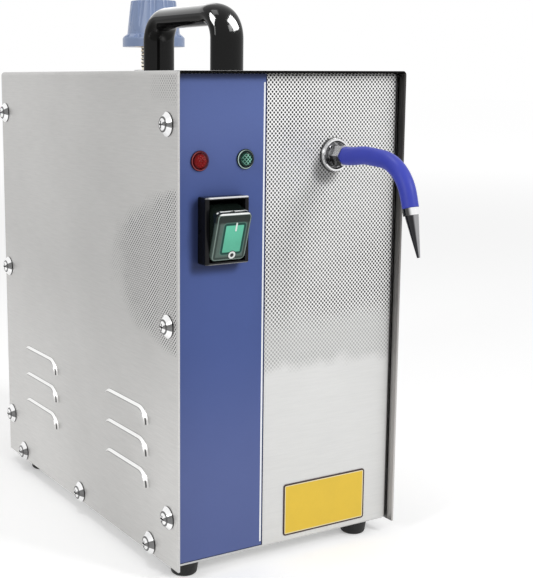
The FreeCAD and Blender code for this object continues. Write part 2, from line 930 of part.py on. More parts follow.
def make_base_tray():
    body = new_body("base_pan")
    floor_low = case_bottom + d.panel_gauge
    slab(body, "floor", (-chassis_half, panel_face + d.panel_gauge, chassis_half,
                         back_face - d.panel_gauge), floor_low, tray_top)
    for tag, outer, inner in (("left", -chassis_half, -chassis_half + d.base_gauge),
                              ("right", chassis_half - d.base_gauge, chassis_half)):
        slab(body, tag + "_flange", (outer, panel_face + d.panel_flange, inner,
                                     back_face - d.panel_flange), floor_low, floor_low + d.base_flange)
    corners = (-chassis_half, panel_face, chassis_half, back_face)
    left, front, right, back = corners
    gauge = d.panel_gauge
    for tag, box in (
        ("front_left", (left, front, left + gauge, front + d.panel_flange)),
        ("front_right", (right - gauge, front, right, front + d.panel_flange)),
        ("back_left", (left, back - d.panel_flange, left + gauge, back)),
        ("back_right", (right - gauge, back - d.panel_flange, right, back)),
    ):
        well(body, tag + "_notch", box, floor_low, tray_top)
    drills = cross_drills("base_drill", base_screws, d.screw_shank)
    for side, x in foot_sides:
        for y in (foot_front, foot_back):
            drills.append(rod(side + "_foot_hole", d.screw_shank, d.base_gauge * 3, x, y,
                              floor_low - d.base_gauge, UPRIGHT))
    keep(cut("base_tray", body, drills), "base_tray")


def make_control_strip():
    body = new_body("control_strip")
    box = (-chassis_half + d.strip_margin, case_bottom + d.strip_margin, -d.strip_edge,
           deck_underside - d.strip_top_gap)
    slab(body, "sheet", box, 0, d.strip_thickness)
    through = (-d.strip_thickness, d.strip_thickness * 2)
    for tag, x in lamps:
        bore(body, tag + "_lamp_hole", x, lamp_level, d.lamp_body_diameter, *through)
    well(body, "switch_hole", switch_body_box(0), *through)
    place(body, 0, panel_face, 0, FORWARD)
    keep(body, "control_strip")


def make_label_plate():
    body = new_body("label_plate")
    middle = case_bottom + d.label_lift
    half_wide, half_high = d.label_width / 2, d.label_height / 2
    slab(body, "sheet", (d.label_centre - half_wide, middle - half_high,
                         d.label_centre + half_wide, middle + half_high), 0, d.label_thickness)
    round_edges(body, d.label_corner, is_upright)
    place(body, 0, panel_face, 0, FORWARD)
    keep(body, "label_plate")


# ---- feet ----------------------------------------------------------------------------------


def make_foot(name, x, y, height):
    """A tapered rubber foot with its screw head sunk from below; own z = 0 is the floor."""
    top, tread = d.foot_diameter / 2, d.foot_tread / 2
    hole, sink = d.screw_shank / 2, d.foot_screw_head / 2
    body = turned(name, [
        (hole, height), (top, height), (tread, 0), (sink, 0),
        (sink, d.foot_screw_sink), (hole, d.foot_screw_sink),
    ])
    round_edges(body, d.foot_round, is_rim(d.foot_tread, 0))
    place(body, x, y, 0)
    keep(body, name)


def make_feet():
    """The front feet bear on the front panel's flange, the rear ones straight on the base tray."""
    for end, y, height in (("front", foot_front, case_bottom),
                           ("rear", foot_back, case_bottom + d.panel_gauge)):
        for side, x in foot_sides:
            make_foot("foot_%s_%s" % (end, side), x, y, height)


def make_foot_screws():
    head, shank = d.foot_screw_head / 2 - d.screw_hole_gap, d.screw_shank / 2
    thickness = d.foot_screw_sink / 2
    master = turned("foot_screw", [
        (0, -thickness), (head, -thickness), (head, 0), (shank, 0),
        (shank, d.foot_screw_reach), (0, d.foot_screw_reach),
    ])
    draw_driver_cross(master, -thickness, upward=True)
    spots = [(x, y, d.foot_screw_sink, UPRIGHT) for y in (foot_front, foot_back) for side, x in foot_sides]
    keep(copies("foot_screws", master, spots), "foot_screws")


# ---- cover screws --------------------------------------------------------------------------


def draw_driver_cross(body, face, upward):
    """Cut the cross-shaped driver recess into a screw's flat face."""
    long, thin = d.driver_span / 2, d.driver_slot / 2
    sketch = new_sketch(body, "cross", face)
    draw_outline(sketch, [
        (long, -thin), (long, thin), (thin, thin), (thin, long), (-thin, long), (-thin, thin),
        (-long, thin), (-long, -thin), (-thin, -thin), (-thin, -long), (thin, -long), (thin, -thin),
    ])
    pocket(body, sketch, d.driver_depth / (2 if upward else 1), upward)


def side_places():
    """Every cover screw's place, with its own z pointing out of the case."""
    spots = front_screws + back_screws + base_screws
    return [(x, y, z, turn) for x, turn in ((-half_width, LEFTWARD), (half_width, MIRRORED))
            for y, z in spots]


def make_cover_fasteners():
    rim, crest = d.washer_diameter / 2, d.screw_head / 2
    hole = d.screw_shank / 2 + d.screw_hole_gap
    seat = d.washer_height - (crest - hole)
    washer = turned("cup_washer", [
        (hole, 0), (rim, 0), (rim, d.washer_rim), (crest + d.washer_rim, d.washer_height),
        (crest, d.washer_height), (hole, seat),
    ])
    shank = d.screw_shank / 2
    screw = turned("cover_screw", [
        (0, -d.screw_reach), (shank, -d.screw_reach), (shank, seat), (hole, seat),
        (crest, d.washer_height), (crest / 2, d.washer_height + d.washer_rim * 2),
        (0, d.washer_height + d.washer_rim * 2),
    ])
    draw_driver_cross(screw, d.washer_height + d.washer_rim * 2, upward=False)
    keep(copies("cup_washers", washer, side_places()), "cup_washers")
    keep(copies("cover_screws", screw, side_places()), "cover_screws")


# ---- handle --------------------------------------------------------------------------------


def make_handle():
    top = deck + d.handle_height - d.handle_thickness / 2
    front, back = handle_legs
    body = bent_tube("handle_bar", [(front, deck), (front, top), (back, top), (back, deck)],
                     [d.handle_bend, d.handle_bend], d.handle_width, thickness=d.handle_thickness)
    drills = [rod("handle_thread", d.handle_screw, d.handle_screw_bite + d.cover_gauge, 0, y,
                  deck_underside, UPRIGHT) for y in handle_legs]
    keep(cut("handle", body, drills), "handle")


def make_handle_screws():
    """Screws driven up through the cover into the handle's legs; own z = 0 is under the deck."""
    head, shank = d.handle_screw_head / 2, d.handle_screw / 2
    screw = turned("handle_screw", [
        (0, -shank), (head, -shank), (head, 0), (shank, 0),
        (shank, d.handle_screw_bite), (0, d.handle_screw_bite),
    ])
    spots = [(0, y, deck_underside, UPRIGHT) for y in handle_legs]
    keep(copies("handle_screws", screw, spots), "handle_screws")


# ---- filler neck and cap -------------------------------------------------------------------

neck_top = deck + d.neck_above_deck
cap_base = deck + d.cap_lift_off_deck


def make_filler_neck():
    """A brass neck with a threaded mouth, standing on a boss let into the boiler's head."""
    mouth, crest = d.neck_bore / 2, d.neck_diameter / 2
    root, boss = crest - d.neck_thread_depth, d.neck_boss_diameter / 2
    low, step = boiler_roof - d.neck_boss_below, boiler_roof + d.neck_boss_above
    profile = [(mouth, neck_top), (mouth, low), (boss, low), (boss, step), (root, step)]
    thread_start = deck + d.deck_washer_height
    turns = int((neck_top - thread_start).value / d.neck_thread_pitch.value)
    for n in range(turns):
        foot = neck_top - d.neck_thread_pitch * (turns - n)
        profile += [
            (root, foot), (crest, foot + d.neck_thread_pitch * 0.4),
            (crest, foot + d.neck_thread_pitch * 0.6),
        ]
    profile.append((root, neck_top))
    body = turned("filler_neck", profile)
    place(body, neck_x, neck_y, 0)
    keep(body, "filler_neck")
    washer_bore, washer_rim = d.neck_diameter / 2 + d.neck_hole_gap, d.deck_washer_diameter / 2
    washer = turned("deck_washer", [
        (washer_bore, 0), (washer_rim, 0), (washer_rim - d.deck_washer_height, d.deck_washer_height),
        (washer_bore, d.deck_washer_height),
    ])
    place(washer, neck_x, neck_y, deck)
    keep(washer, "deck_washer")


def make_cap():
    """The cap's pieces; own z = 0 is the underside of the knob's flange."""
    mouth_level = neck_top - cap_base
    gasket_low = mouth_level + d.cap_running_gap
    gasket_high = gasket_low + d.gasket_thickness
    web_low = gasket_high + d.cap_running_gap
    web_high = web_low + d.insert_roof
    insert = d.insert_diameter / 2
    chamber = d.relief_seat_diameter / 2 + d.cap_running_gap * 2
    roof = d.cap_height - d.cap_roof
    flange, waist, crown = d.cap_flange_diameter / 2, d.cap_waist_diameter / 2, d.cap_crown_diameter / 2
    knob = turned("cap_knob", [
        (insert, 0), (flange, 0), (flange, d.cap_flange_height),
        (waist, d.cap_flange_height + d.cap_shoulder), (crown, d.cap_height), (0, d.cap_height),
        (0, roof), (chamber, roof), (chamber, web_high), (insert, web_high),
    ])
    round_edges(knob, d.cap_shoulder, is_rim(d.cap_flange_diameter, d.cap_flange_height))
    round_edges(knob, d.cap_roof / 2, is_rim(d.cap_crown_diameter, d.cap_height))
    low = new_sketch(knob, "flute_foot", d.cap_flange_height)
    draw_circle(low, waist + d.flute_diameter / 2 + d.flute_depth / 2, 0, d.flute_diameter)
    high = new_sketch(knob, "flute_head", d.cap_height + TOUCH)
    draw_circle(high, crown + d.flute_diameter / 2 - d.flute_depth, 0, d.flute_diameter)
    flute = knob.newObject("PartDesign::SubtractiveLoft", "cap_flute")
    flute.Profile = low
    flute.Sections = [high]
    polar(knob, [flute], d.cap_flutes)
    thread = d.neck_diameter / 2 + d.cap_running_gap
    pocket_rim = thread + d.neck_thread_depth * 2
    thread_low = mouth_level - d.cap_thread_length
    relief = d.relief_bore / 2
    fitting = turned("cap_insert", [
        (pocket_rim, 0), (insert, 0), (insert, web_high), (relief, web_high), (relief, web_low),
        (pocket_rim, web_low), (pocket_rim, gasket_low - d.cap_running_gap),
        (thread, gasket_low - d.cap_running_gap), (thread, thread_low), (pocket_rim, thread_low),
    ])
    gasket_rim = pocket_rim - d.cap_running_gap
    gasket = turned("cap_gasket", [
        (gasket_rim - d.gasket_width, gasket_low), (gasket_rim, gasket_low),
        (gasket_rim, gasket_high), (gasket_rim - d.gasket_width, gasket_high),
    ])
    seat, stem = d.relief_seat_diameter / 2, d.relief_stem / 2
    seat_low = web_high + d.cap_running_gap
    seat_high = seat_low + d.relief_seat_thickness
    plug = relief - d.cap_running_gap
    poppet = turned("relief_poppet", [
        (0, web_low), (plug, web_low), (plug, seat_low), (seat, seat_low), (seat, seat_high),
        (stem, seat_high), (stem, seat_high + d.relief_seat_thickness),
        (0, seat_high + d.relief_seat_thickness),
    ])
    spring = coil_spring("relief_spring", d.relief_spring_diameter, d.relief_spring_wire,
                         seat_high, roof, 2.5)
    for body in (knob, fitting, gasket, poppet, spring):
        place(body, neck_x, neck_y, cap_base)
    keep(knob, "cap_knob")
    keep(fitting, "cap_insert")
    keep(gasket, "cap_gasket")
    keep(poppet, "relief_poppet")
    keep(spring, "relief_spring")


# ---- boiler --------------------------------------------------------------------------------


def boiler_head(name, extra):
    """A pressed head with its crown up: own z = 0 is the seam; extra cuts its ports."""
    rim, inner = boiler_radius, boiler_radius - d.boiler_wall
    body = turned(name, [
        (0, d.head_round), (rim, d.head_round), (rim, 0), (inner, 0),
        (inner, d.head_round - d.boiler_wall), (0, d.head_round - d.boiler_wall),
    ])
    round_edges(body, d.head_round - d.boiler_wall, is_rim(boiler_radius * 2, d.head_round))
    inner_crown = d.head_round - d.boiler_wall
    round_edges(body, d.head_round - d.boiler_wall * 2,
                is_rim(inner * 2, inner_crown))
    for tag, x, y, diameter, low in extra:
        bore(body, tag, x, y, diameter, low, d.head_round + d.boiler_wall)
    return body


def make_boiler():
    seam_low, seam_high = boiler_floor + d.head_round, boiler_roof - d.head_round
    inner = boiler_radius - d.boiler_wall
    shell = turned("boiler_tube", [
        (inner, seam_low), (boiler_radius, seam_low), (boiler_radius, seam_high), (inner, seam_high),
    ])
    place(shell, d.boiler_right, boiler_y, 0)
    drain = rod("drain_port", d.drain_pipe_diameter, boiler_radius, d.boiler_right, boiler_y + inner / 2,
                drain_axis, BACKWARD)
    keep(cut("boiler_shell", shell, [drain]), "boiler_shell")

    ports = [
        ("neck_port", d.neck_right_of_boiler, d.neck_behind_boiler, d.neck_boss_diameter, 0),
        ("steam_port", spout_x - d.boiler_right, -d.steam_pipe_ahead, d.steam_pipe_diameter, 0),
        ("pressure_port", -d.pressure_switch_left, -d.pressure_switch_ahead, d.gauge_stub, 0),
    ]
    top = boiler_head("boiler_top_head", ports)
    place(top, d.boiler_right, boiler_y, seam_high)
    keep(top, "boiler_top_head")
    bottom = boiler_head("boiler_bottom_head", [("heater_port", 0, 0, d.heater_port, 0)])
    place(bottom, d.boiler_right, boiler_y, seam_low, DOWNWARD)
    keep(bottom, "boiler_bottom_head")

    lagging_inner = boiler_radius + d.jacket_gap
    low, high = seam_low + d.jacket_end_inset, seam_high - d.jacket_end_inset
    jacket = turned("jacket_sleeve", [
        (lagging_inner, low), (lagging_radius, low), (lagging_radius, high), (lagging_inner, high),
    ])
    place(jacket, d.boiler_right, boiler_y, 0)
    hole = rod("jacket_port", d.drain_pipe_diameter + d.drain_hole_gap * 2, boiler_radius,
               d.boiler_right, boiler_y + inner / 2, drain_axis, BACKWARD)
    keep(cut("boiler_jacket", jacket, [hole]), "boiler_jacket")


def make_boiler_stand():
    """A ring under the boiler on evenly spaced legs with outward toes."""
    inner, outer = d.stand_ring_inner / 2, d.stand_ring_outer / 2
    ring_low = boiler_floor - d.stand_gauge
    body = turned("boiler_stand", [
        (inner, ring_low), (outer, ring_low), (outer, boiler_floor), (inner, boiler_floor),
    ])
    half = d.stand_leg_width / 2
    leg = slab(body, "leg", (outer - d.stand_gauge, -half, outer, half), tray_top, ring_low + TOUCH)
    toe = slab(body, "toe", (outer - d.stand_gauge, -half, outer + d.stand_toe, half), tray_top,
               tray_top + d.stand_gauge)
    polar(body, [leg, toe], d.stand_legs)
    place(body, d.boiler_right, boiler_y, 0)
    keep(body, "boiler_stand")


def make_heater():
    """An immersion heater: a hexagon plug screwed into the bottom head, and its bent element."""
    low = boiler_floor - d.heater_plug_thickness
    plug = new_body("heater_plug")
    hexagon = new_sketch(plug, "hexagon", low)
    draw_hexagon(hexagon, d.heater_plug_flats)
    pad(plug, hexagon, d.heater_plug_thickness)
    thread = new_sketch(plug, "thread", boiler_floor - TOUCH)
    draw_circle(thread, 0, 0, d.heater_port)
    pad(plug, thread, d.boiler_wall * 2)
    for tag, x in (("left", -d.heater_pitch / 2), ("right", d.heater_pitch / 2)):
        bore(plug, tag + "_leg_hole", x, 0, d.heater_tube, low, boiler_floor + d.boiler_wall * 3)
    place(plug, d.boiler_right, boiler_y, 0)
    keep(plug, "heater_plug")
    half, top = d.heater_pitch / 2, boiler_floor + d.heater_rise
    tail = low - d.heater_tail
    element = bent_tube("heating_element", [(-half, tail), (-half, top), (half, top), (half, tail)],
                        [d.heater_bend, d.heater_bend], d.heater_tube, role="XZ_Plane")
    place(element, d.boiler_right, boiler_y, 0)
    keep(element, "heating_element")


def make_boiler_controls():
    stub, case = d.gauge_stub / 2, d.pressure_switch_diameter / 2
    foot = -d.boiler_wall
    step = d.pressure_switch_stand
    switch = turned("pressure_switch", [
        (0, foot), (stub, foot), (stub, step), (case, step),
        (case, step + d.pressure_switch_height), (0, step + d.pressure_switch_height),
    ])
    round_edges(switch, d.panel_gauge, is_rim(d.pressure_switch_diameter, step + d.pressure_switch_height))
    place(switch, d.boiler_right - d.pressure_switch_left, boiler_y - d.pressure_switch_ahead,
          boiler_roof)
    keep(switch, "pressure_switch")
    rim, cup = d.thermostat_flange / 2, d.thermostat_diameter / 2
    cutout = turned("thermostat", [
        (0, 0), (rim, 0), (rim, d.panel_gauge), (cup, d.panel_gauge), (cup, d.thermostat_height),
        (0, d.thermostat_height),
    ])
    place(cutout, d.boiler_right - d.thermostat_left, boiler_y + d.thermostat_behind, boiler_roof)
    keep(cutout, "thermostat")


# ---- steam valve and pipes -----------------------------------------------------------------

valve_y = panel_face + d.valve_setback
valve_top = spout_axis + d.valve_height / 2
armature_base = spout_axis + d.armature_floor
armature_top = valve_top + d.armature_rise


def make_steam_valve():
    """A solenoid valve: block and armature tube, plunger, spring and coil; own z = 0 is the floor."""
    half_wide, half_long = d.valve_width / 2, d.valve_length / 2
    core = new_body("valve_core")
    slab(core, "block", (-half_wide, -half_long, half_wide, half_long),
         spout_axis - d.valve_height / 2, valve_top)
    tube = new_sketch(core, "tube", valve_top - TOUCH)
    draw_circle(tube, 0, 0, d.armature_diameter)
    pad(core, tube, d.armature_rise + TOUCH)
    wall = (d.armature_diameter - d.armature_bore) / 2
    chamber = new_sketch(core, "chamber", armature_base)
    draw_circle(chamber, 0, 0, d.armature_bore)
    pocket(core, chamber, armature_top - wall - armature_base, upward=True)
    bore(core, "seat_hole", 0, 0, d.steam_bore, spout_axis, armature_base + TOUCH)
    place(core, spout_x, valve_y, 0)
    way = rod("valve_way", d.steam_bore, d.valve_length * 2, spout_x, valve_y - d.valve_length,
              spout_axis, BACKWARD)
    keep(cut("valve_body", core, [way]), "valve_body")

    plunger_radius = d.armature_bore / 2 - d.plunger_running_gap
    plunger_low = armature_base + d.plunger_seat_gap
    plunger_high = plunger_low + d.plunger_length
    plunger = turned("valve_plunger", [
        (0, plunger_low), (plunger_radius - d.plunger_seat_gap, plunger_low),
        (plunger_radius, plunger_low + d.plunger_seat_gap), (plunger_radius, plunger_high),
        (0, plunger_high),
    ])
    spring = coil_spring("valve_spring", d.valve_spring_diameter, d.valve_spring_wire,
                         plunger_high, armature_top - wall, 5)
    coil = new_body("valve_coil")
    half = d.coil_side / 2
    slab(coil, "case", (-half, -half, half, half), valve_top, valve_top + d.coil_height)
    round_edges(coil, d.coil_gap * 10, is_upright)
    bore(coil, "core", 0, 0, d.armature_diameter + d.coil_gap * 2, valve_top,
         valve_top + d.coil_height)
    for body in (plunger, spring, coil):
        place(body, spout_x, valve_y, 0)
    keep(plunger, "valve_plunger")
    keep(spring, "valve_spring")
    keep(coil, "valve_coil")


def make_pipes():
    port_y = boiler_y - d.steam_pipe_ahead
    inlet_y = valve_y + d.valve_length / 2
    steam = bent_tube("steam_pipe", [(port_y, boiler_roof - d.boiler_wall), (port_y, spout_axis),
                                     (inlet_y, spout_axis)],
                      [d.steam_pipe_bend], d.steam_pipe_diameter, d.steam_pipe_bore)
    place(steam, spout_x, 0, 0)
    keep(steam, "steam_pipe")
    start, end = valve_y - d.valve_length / 2, panel_face + d.fitting_rear
    radius, way = d.steam_pipe_diameter / 2, d.steam_bore / 2
    outlet = turned("outlet_pipe", [(way, 0), (radius, 0), (radius, start - end), (way, start - end)])
    place(outlet, spout_x, start, spout_axis, FORWARD)
    keep(outlet, "outlet_pipe")


# ---- spout ---------------------------------------------------------------------------------

sleeve_start = panel_face - d.fitting_front
crest_y = sleeve_start - d.spout_crest
crest_z = spout_axis + d.spout_rise
bend_y = sleeve_start - d.spout_reach
bend_z = spout_axis - d.spout_droop
sleeve_end_y = bend_y - d.spout_drop * sine(d.nozzle_tilt)
sleeve_end_z = bend_z - d.spout_drop * cosine(d.nozzle_tilt)


def make_spout():
    """The steam fitting in the front panel and the sleeved tube that leads to the nozzle."""
    hole, rim = d.fitting_thread / 2, d.escutcheon_diameter / 2
    crest = d.escutcheon_height
    plate = turned("spout_escutcheon", [
        (hole, 0), (rim, 0), (rim, crest / 4), (rim - crest / 3, crest), (rim - crest * 2 / 3, crest),
        (hole + crest / 2, crest / 3), (hole, crest / 3),
    ])
    place(plate, spout_x, panel_face, spout_axis, FORWARD)
    keep(plate, "spout_escutcheon")

    way = d.steam_bore / 2
    fitting = new_body("spout_fitting")
    shank = new_sketch(fitting, "shank", -d.fitting_rear)
    draw_circle(shank, 0, 0, d.fitting_thread)
    pad(fitting, shank, d.fitting_rear + d.fitting_front - d.fitting_hex_length + TOUCH)
    head = new_sketch(fitting, "hexagon", d.fitting_front - d.fitting_hex_length)
    draw_hexagon(head, d.fitting_flats)
    pad(fitting, head, d.fitting_hex_length)
    bore(fitting, "way", 0, 0, way * 2, -d.fitting_rear, d.fitting_front)
    place(fitting, spout_x, panel_face, spout_axis, FORWARD)
    keep(fitting, "spout_fitting")

    nut = new_body("fitting_nut")
    hexagon = new_sketch(nut, "hexagon", -d.panel_gauge - d.fitting_nut_height)
    draw_hexagon(hexagon, d.fitting_nut_flats)
    pad(nut, hexagon, d.fitting_nut_height)
    bore(nut, "thread", 0, 0, d.fitting_thread, -d.panel_gauge - d.fitting_nut_height, -d.panel_gauge)
    place(nut, spout_x, panel_face, spout_axis, FORWARD)
    keep(nut, "fitting_nut")

    route = [(sleeve_start, spout_axis), (sleeve_start - d.spout_lead, spout_axis),
             (crest_y, crest_z), (bend_y, bend_z), (sleeve_end_y, sleeve_end_z)]
    bends = [d.spout_bow, d.spout_bow, d.spout_bend]
    tube = bent_tube("spout_tube", route, bends, d.spout_tube_diameter, d.steam_bore)
    sleeve = bent_tube("spout_sleeve", route, bends, d.sleeve_diameter,
                       d.spout_tube_diameter + d.sleeve_gap * 2)
    collar = turned("nozzle_collar", [
        (way, 0), (d.collar_diameter / 2, 0), (d.collar_diameter / 2, d.collar_length),
        (way, d.collar_length),
    ])
    end = d.collar_length + d.nozzle_length
    nozzle = turned("nozzle_tip", [
        (way, d.collar_length), (d.nozzle_base / 2, d.collar_length),
        (d.nozzle_tip_diameter / 2, end), (d.nozzle_bore / 2, end),
    ])
    for body in (tube, sleeve):
        place(body, spout_x, 0, 0)
    down = Rotation(Vector(1, 0, 0), 180 - d.nozzle_tilt.value)
    for body in (collar, nozzle):
        place(body, spout_x, sleeve_end_y, sleeve_end_z, down)
        bind(body, "Placement.Rotation.Angle", 180 - d.nozzle_tilt)
    keep(tube, "spout_tube")
    keep(sleeve, "spout_sleeve")
    keep(collar, "nozzle_collar")
    keep(nozzle, "nozzle_tip")


# ---- pilot lamps ---------------------------------------------------------------------------


def make_lamps():
    """Two lamps alike, with snap-in bodies: own z = 0 is the strip's face."""
    rim, dome, stem = d.lens_diameter / 2, d.lens_dome / 2, d.lamp_body_diameter / 2
    spots = []
    for colour, x in lamps:
        lens = turned(colour + "_lamp_lens", [
            (0, 0), (rim, 0), (rim, d.lens_rim), (dome, d.lens_rim), (dome, d.lens_proud),
            (0, d.lens_proud),
        ])
        round_edges(lens, (d.lens_proud - d.lens_rim) * 0.8, is_rim(d.lens_dome, d.lens_proud))
        place(lens, x, strip_face, lamp_level, FORWARD)
        keep(lens, colour + "_lamp_lens")
        spots.append((x, strip_face, lamp_level, FORWARD))
    catch = d.strip_thickness + d.panel_gauge
    holder = turned("lamp_body", [
        (0, -d.lamp_body_length), (stem, -d.lamp_body_length), (stem + d.lamp_catch, -catch * 2),
        (stem + d.lamp_catch, -catch), (stem, -catch), (stem, 0), (0, 0),
    ])
    keep(copies("lamp_bodies", holder, spots), "lamp_bodies")


# ---- rocker switch -------------------------------------------------------------------------

rest_tilt = Rotation(Vector(1, 0, 0), 90 + d.rocker_tilt.value)
pivot_y = panel_face - d.rocker_pivot


def make_switch():
    """A sealed rocker switch, resting at off with its top edge standing proud."""
    width, length = d.switch_width / 2, d.switch_length / 2
    middle = (switch_x, switch_level)
    housing = new_body("switch_moulding")
    frame = new_sketch(housing, "frame", d.strip_thickness)
    draw_box(frame, middle[0] - width, middle[1] - length, middle[0] + width, middle[1] + length)
    pad(housing, frame, d.switch_proud - d.strip_thickness)
    round_edges(housing, d.switch_corner, is_upright)
    round_edges(housing, d.switch_edge, is_level(d.switch_proud))
    slab(housing, "body", switch_body_box(0), -d.switch_depth, d.strip_thickness + TOUCH)
    well(housing, "window", switch_body_box(d.switch_wall), -d.switch_well, d.switch_proud)
    place(housing, 0, panel_face, 0, FORWARD)
    drill = rod("pin_hole", d.pin_diameter, d.switch_width * 2, middle[0] - d.switch_width, pivot_y,
                middle[1], RIGHTWARD)
    keep(cut("switch_housing", housing, [drill]), "switch_housing")
    pin_length = d.rocker_width + (d.window_gap + d.switch_wall) * 2
    rocker_pin = rod("rocker_pin", d.pin_diameter, pin_length, middle[0] - pin_length / 2, pivot_y,
                     middle[1], RIGHTWARD)
    keep(rocker_pin, "rocker_pin")

    wall = d.boot_wall
    half_wide, half_long = d.rocker_width / 2, d.rocker_length / 2
    hole = d.pin_diameter + d.pin_running_gap * 2
    outer = (-half_wide, -half_long, half_wide, half_long)
    inner = (-half_wide + wall, -half_long + wall, half_wide - wall, half_long - wall)
    boot = new_body("boot_shell")
    slab(boot, "skin", outer, -d.rocker_back, d.rocker_face)
    round_edges(boot, d.rocker_corner, is_upright)
    round_edges(boot, d.rocker_edge, is_level(d.rocker_face))
    hollow = new_sketch(boot, "hollow", -d.rocker_back)
    draw_box(hollow, *inner)
    pocket(boot, hollow, d.rocker_back + d.rocker_face - wall, upward=True)
    rocker = new_body("rocker_block")
    slab(rocker, "block", inner, -d.rocker_back, d.rocker_face - wall)
    for name, body in (("rocker_boot", boot), ("switch_rocker", rocker)):
        pivot = rod(name + "_pivot", hole, d.rocker_width * 2, -d.rocker_width, 0, 0, RIGHTWARD)
        drilled = cut(name, body, [pivot])
        place(drilled, middle[0], pivot_y, middle[1], rest_tilt)
        bind(drilled, "Placement.Rotation.Angle", d.rocker_tilt + 90)
        keep(drilled, name)


# ---- drain cock ----------------------------------------------------------------------------

cock_start = back_face
cock_middle = cock_start + d.cock_length / 2
drain_axis = boiler_floor + d.head_round + d.drain_pipe_diameter / 2 + d.drain_clearance


def make_drain():
    """A plug cock on the drain pipe, with a hose tail and a lever; shut while the lever lies across."""
    way = d.drain_pipe_bore / 2
    pipe_start = boiler_y + boiler_radius - d.boiler_wall * 2
    radius = d.drain_pipe_diameter / 2
    pipe = turned("drain_pipe", [(way, 0), (radius, 0), (radius, cock_start - pipe_start),
                                 (way, cock_start - pipe_start)])
    place(pipe, d.boiler_right, pipe_start, drain_axis, BACKWARD)
    keep(pipe, "drain_pipe")
    outer, tail = d.cock_diameter / 2, d.hose_tail_diameter / 2
    casting = turned("cock_casting", [
        (way, 0), (outer, 0), (outer, d.cock_length), (tail, d.cock_length),
        (tail, d.cock_length + d.hose_tail_length), (way, d.cock_length + d.hose_tail_length),
    ])
    place(casting, d.boiler_right, cock_start, drain_axis, BACKWARD)
    seat = d.cock_plug + d.cock_plug_gap * 2
    floor = drain_axis - outer + d.boiler_wall
    plug_hole = rod("cock_plug_hole", seat, d.cock_diameter * 2, d.boiler_right, cock_middle, floor, UPRIGHT)
    keep(cut("drain_cock", casting, [plug_hole]), "drain_cock")

    plug, stem, top = d.cock_plug / 2, d.cock_stem / 2, drain_axis + outer
    turning = turned("cock_spindle", [
        (0, floor + d.cap_running_gap), (plug, floor + d.cap_running_gap), (plug, top), (stem, top),
        (stem, top + d.cock_stem_rise + d.lever_thickness), (0, top + d.cock_stem_rise + d.lever_thickness),
    ])
    place(turning, d.boiler_right, cock_middle, 0)
    cross_way = rod("cock_cross_way", d.drain_pipe_bore, d.cock_diameter * 2,
                    d.boiler_right - d.cock_diameter, cock_middle, drain_axis, RIGHTWARD)
    keep(cut("drain_plug", turning, [cross_way]), "drain_plug")

    lever = new_body("drain_lever")
    low = top + d.cock_stem_rise
    half = d.lever_width / 2
    slab(lever, "arm", (0, -half, d.lever_length, half), low, low + d.lever_thickness)
    hub = new_sketch(lever, "hub", low)
    draw_circle(hub, 0, 0, d.lever_hub)
    pad(lever, hub, d.lever_thickness)
    bore(lever, "eye", 0, 0, d.cock_stem, low, low + d.lever_thickness)
    place(lever, d.boiler_right, cock_middle, 0)
    keep(lever, "drain_lever")


# ---- power inlet, pedal socket and terminal block ------------------------------------------


def make_power_inlet():
    """A screwed-in mains inlet: own z = 0 is the rear panel's face, own x runs to the left."""
    level = case_bottom + d.inlet_height
    inlet = new_body("inlet_moulding")
    wide, high = d.inlet_flange_width / 2, d.inlet_flange_height / 2
    slab(inlet, "flange", (-wide, -high, wide, high), 0, d.inlet_flange_thickness)
    round_edges(inlet, d.inlet_corner, is_upright)
    wide, high = d.inlet_body_width / 2, d.inlet_body_height / 2
    slab(inlet, "body", (-wide, -high, wide, high), -d.inlet_depth, TOUCH)
    wide, high = d.inlet_well_width / 2, d.inlet_well_height / 2
    slope = d.inlet_corner
    mouth = new_sketch(inlet, "mouth", d.inlet_flange_thickness)
    draw_outline(mouth, [(-wide, -high), (wide, -high), (wide, high - slope), (wide - slope, high),
                         (slope - wide, high), (-wide, high - slope)])
    pocket(inlet, mouth, d.inlet_well_depth + d.inlet_flange_thickness)
    for side in (-1, 1):
        bore(inlet, "screw_hole", d.inlet_screw_spread / 2 * side, 0, d.inlet_screw,
             -d.panel_gauge, d.inlet_flange_thickness)
    place(inlet, -d.inlet_left, back_face, level, BACKWARD)
    keep(inlet, "power_inlet")

    pin_body = doc.addObject("Part::Box", "inlet_pin")
    bind(pin_body, "Length", d.inlet_pin_width / 2)
    bind(pin_body, "Width", d.inlet_well_depth - d.inlet_pin_drop / 2)
    bind(pin_body, "Height", d.inlet_pin_width)
    spots = []
    back = back_face - d.inlet_well_depth
    for across, drop in ((-d.inlet_pin_spread / 2, d.inlet_pin_drop / 2),
                         (as_length(0), -d.inlet_pin_drop / 2),
                         (d.inlet_pin_spread / 2, d.inlet_pin_drop / 2)):
        spots.append((-d.inlet_left + across - d.inlet_pin_width / 4, back,
                      level - drop - d.inlet_pin_width / 2, UPRIGHT))
    keep(copies("inlet_pins", pin_body, spots), "inlet_pins")
    head, shank = d.inlet_screw_head / 2, d.inlet_screw / 2
    screw = turned("inlet_screw", [
        (0, -d.panel_flange / 2), (shank, -d.panel_flange / 2), (shank, 0), (head, 0),
        (head, shank), (0, shank),
    ])
    places = [(-d.inlet_left + d.inlet_screw_spread / 2 * side, back_face + d.inlet_flange_thickness,
               level, BACKWARD) for side in (-1, 1)]
    keep(copies("inlet_screws", screw, places), "inlet_screws")


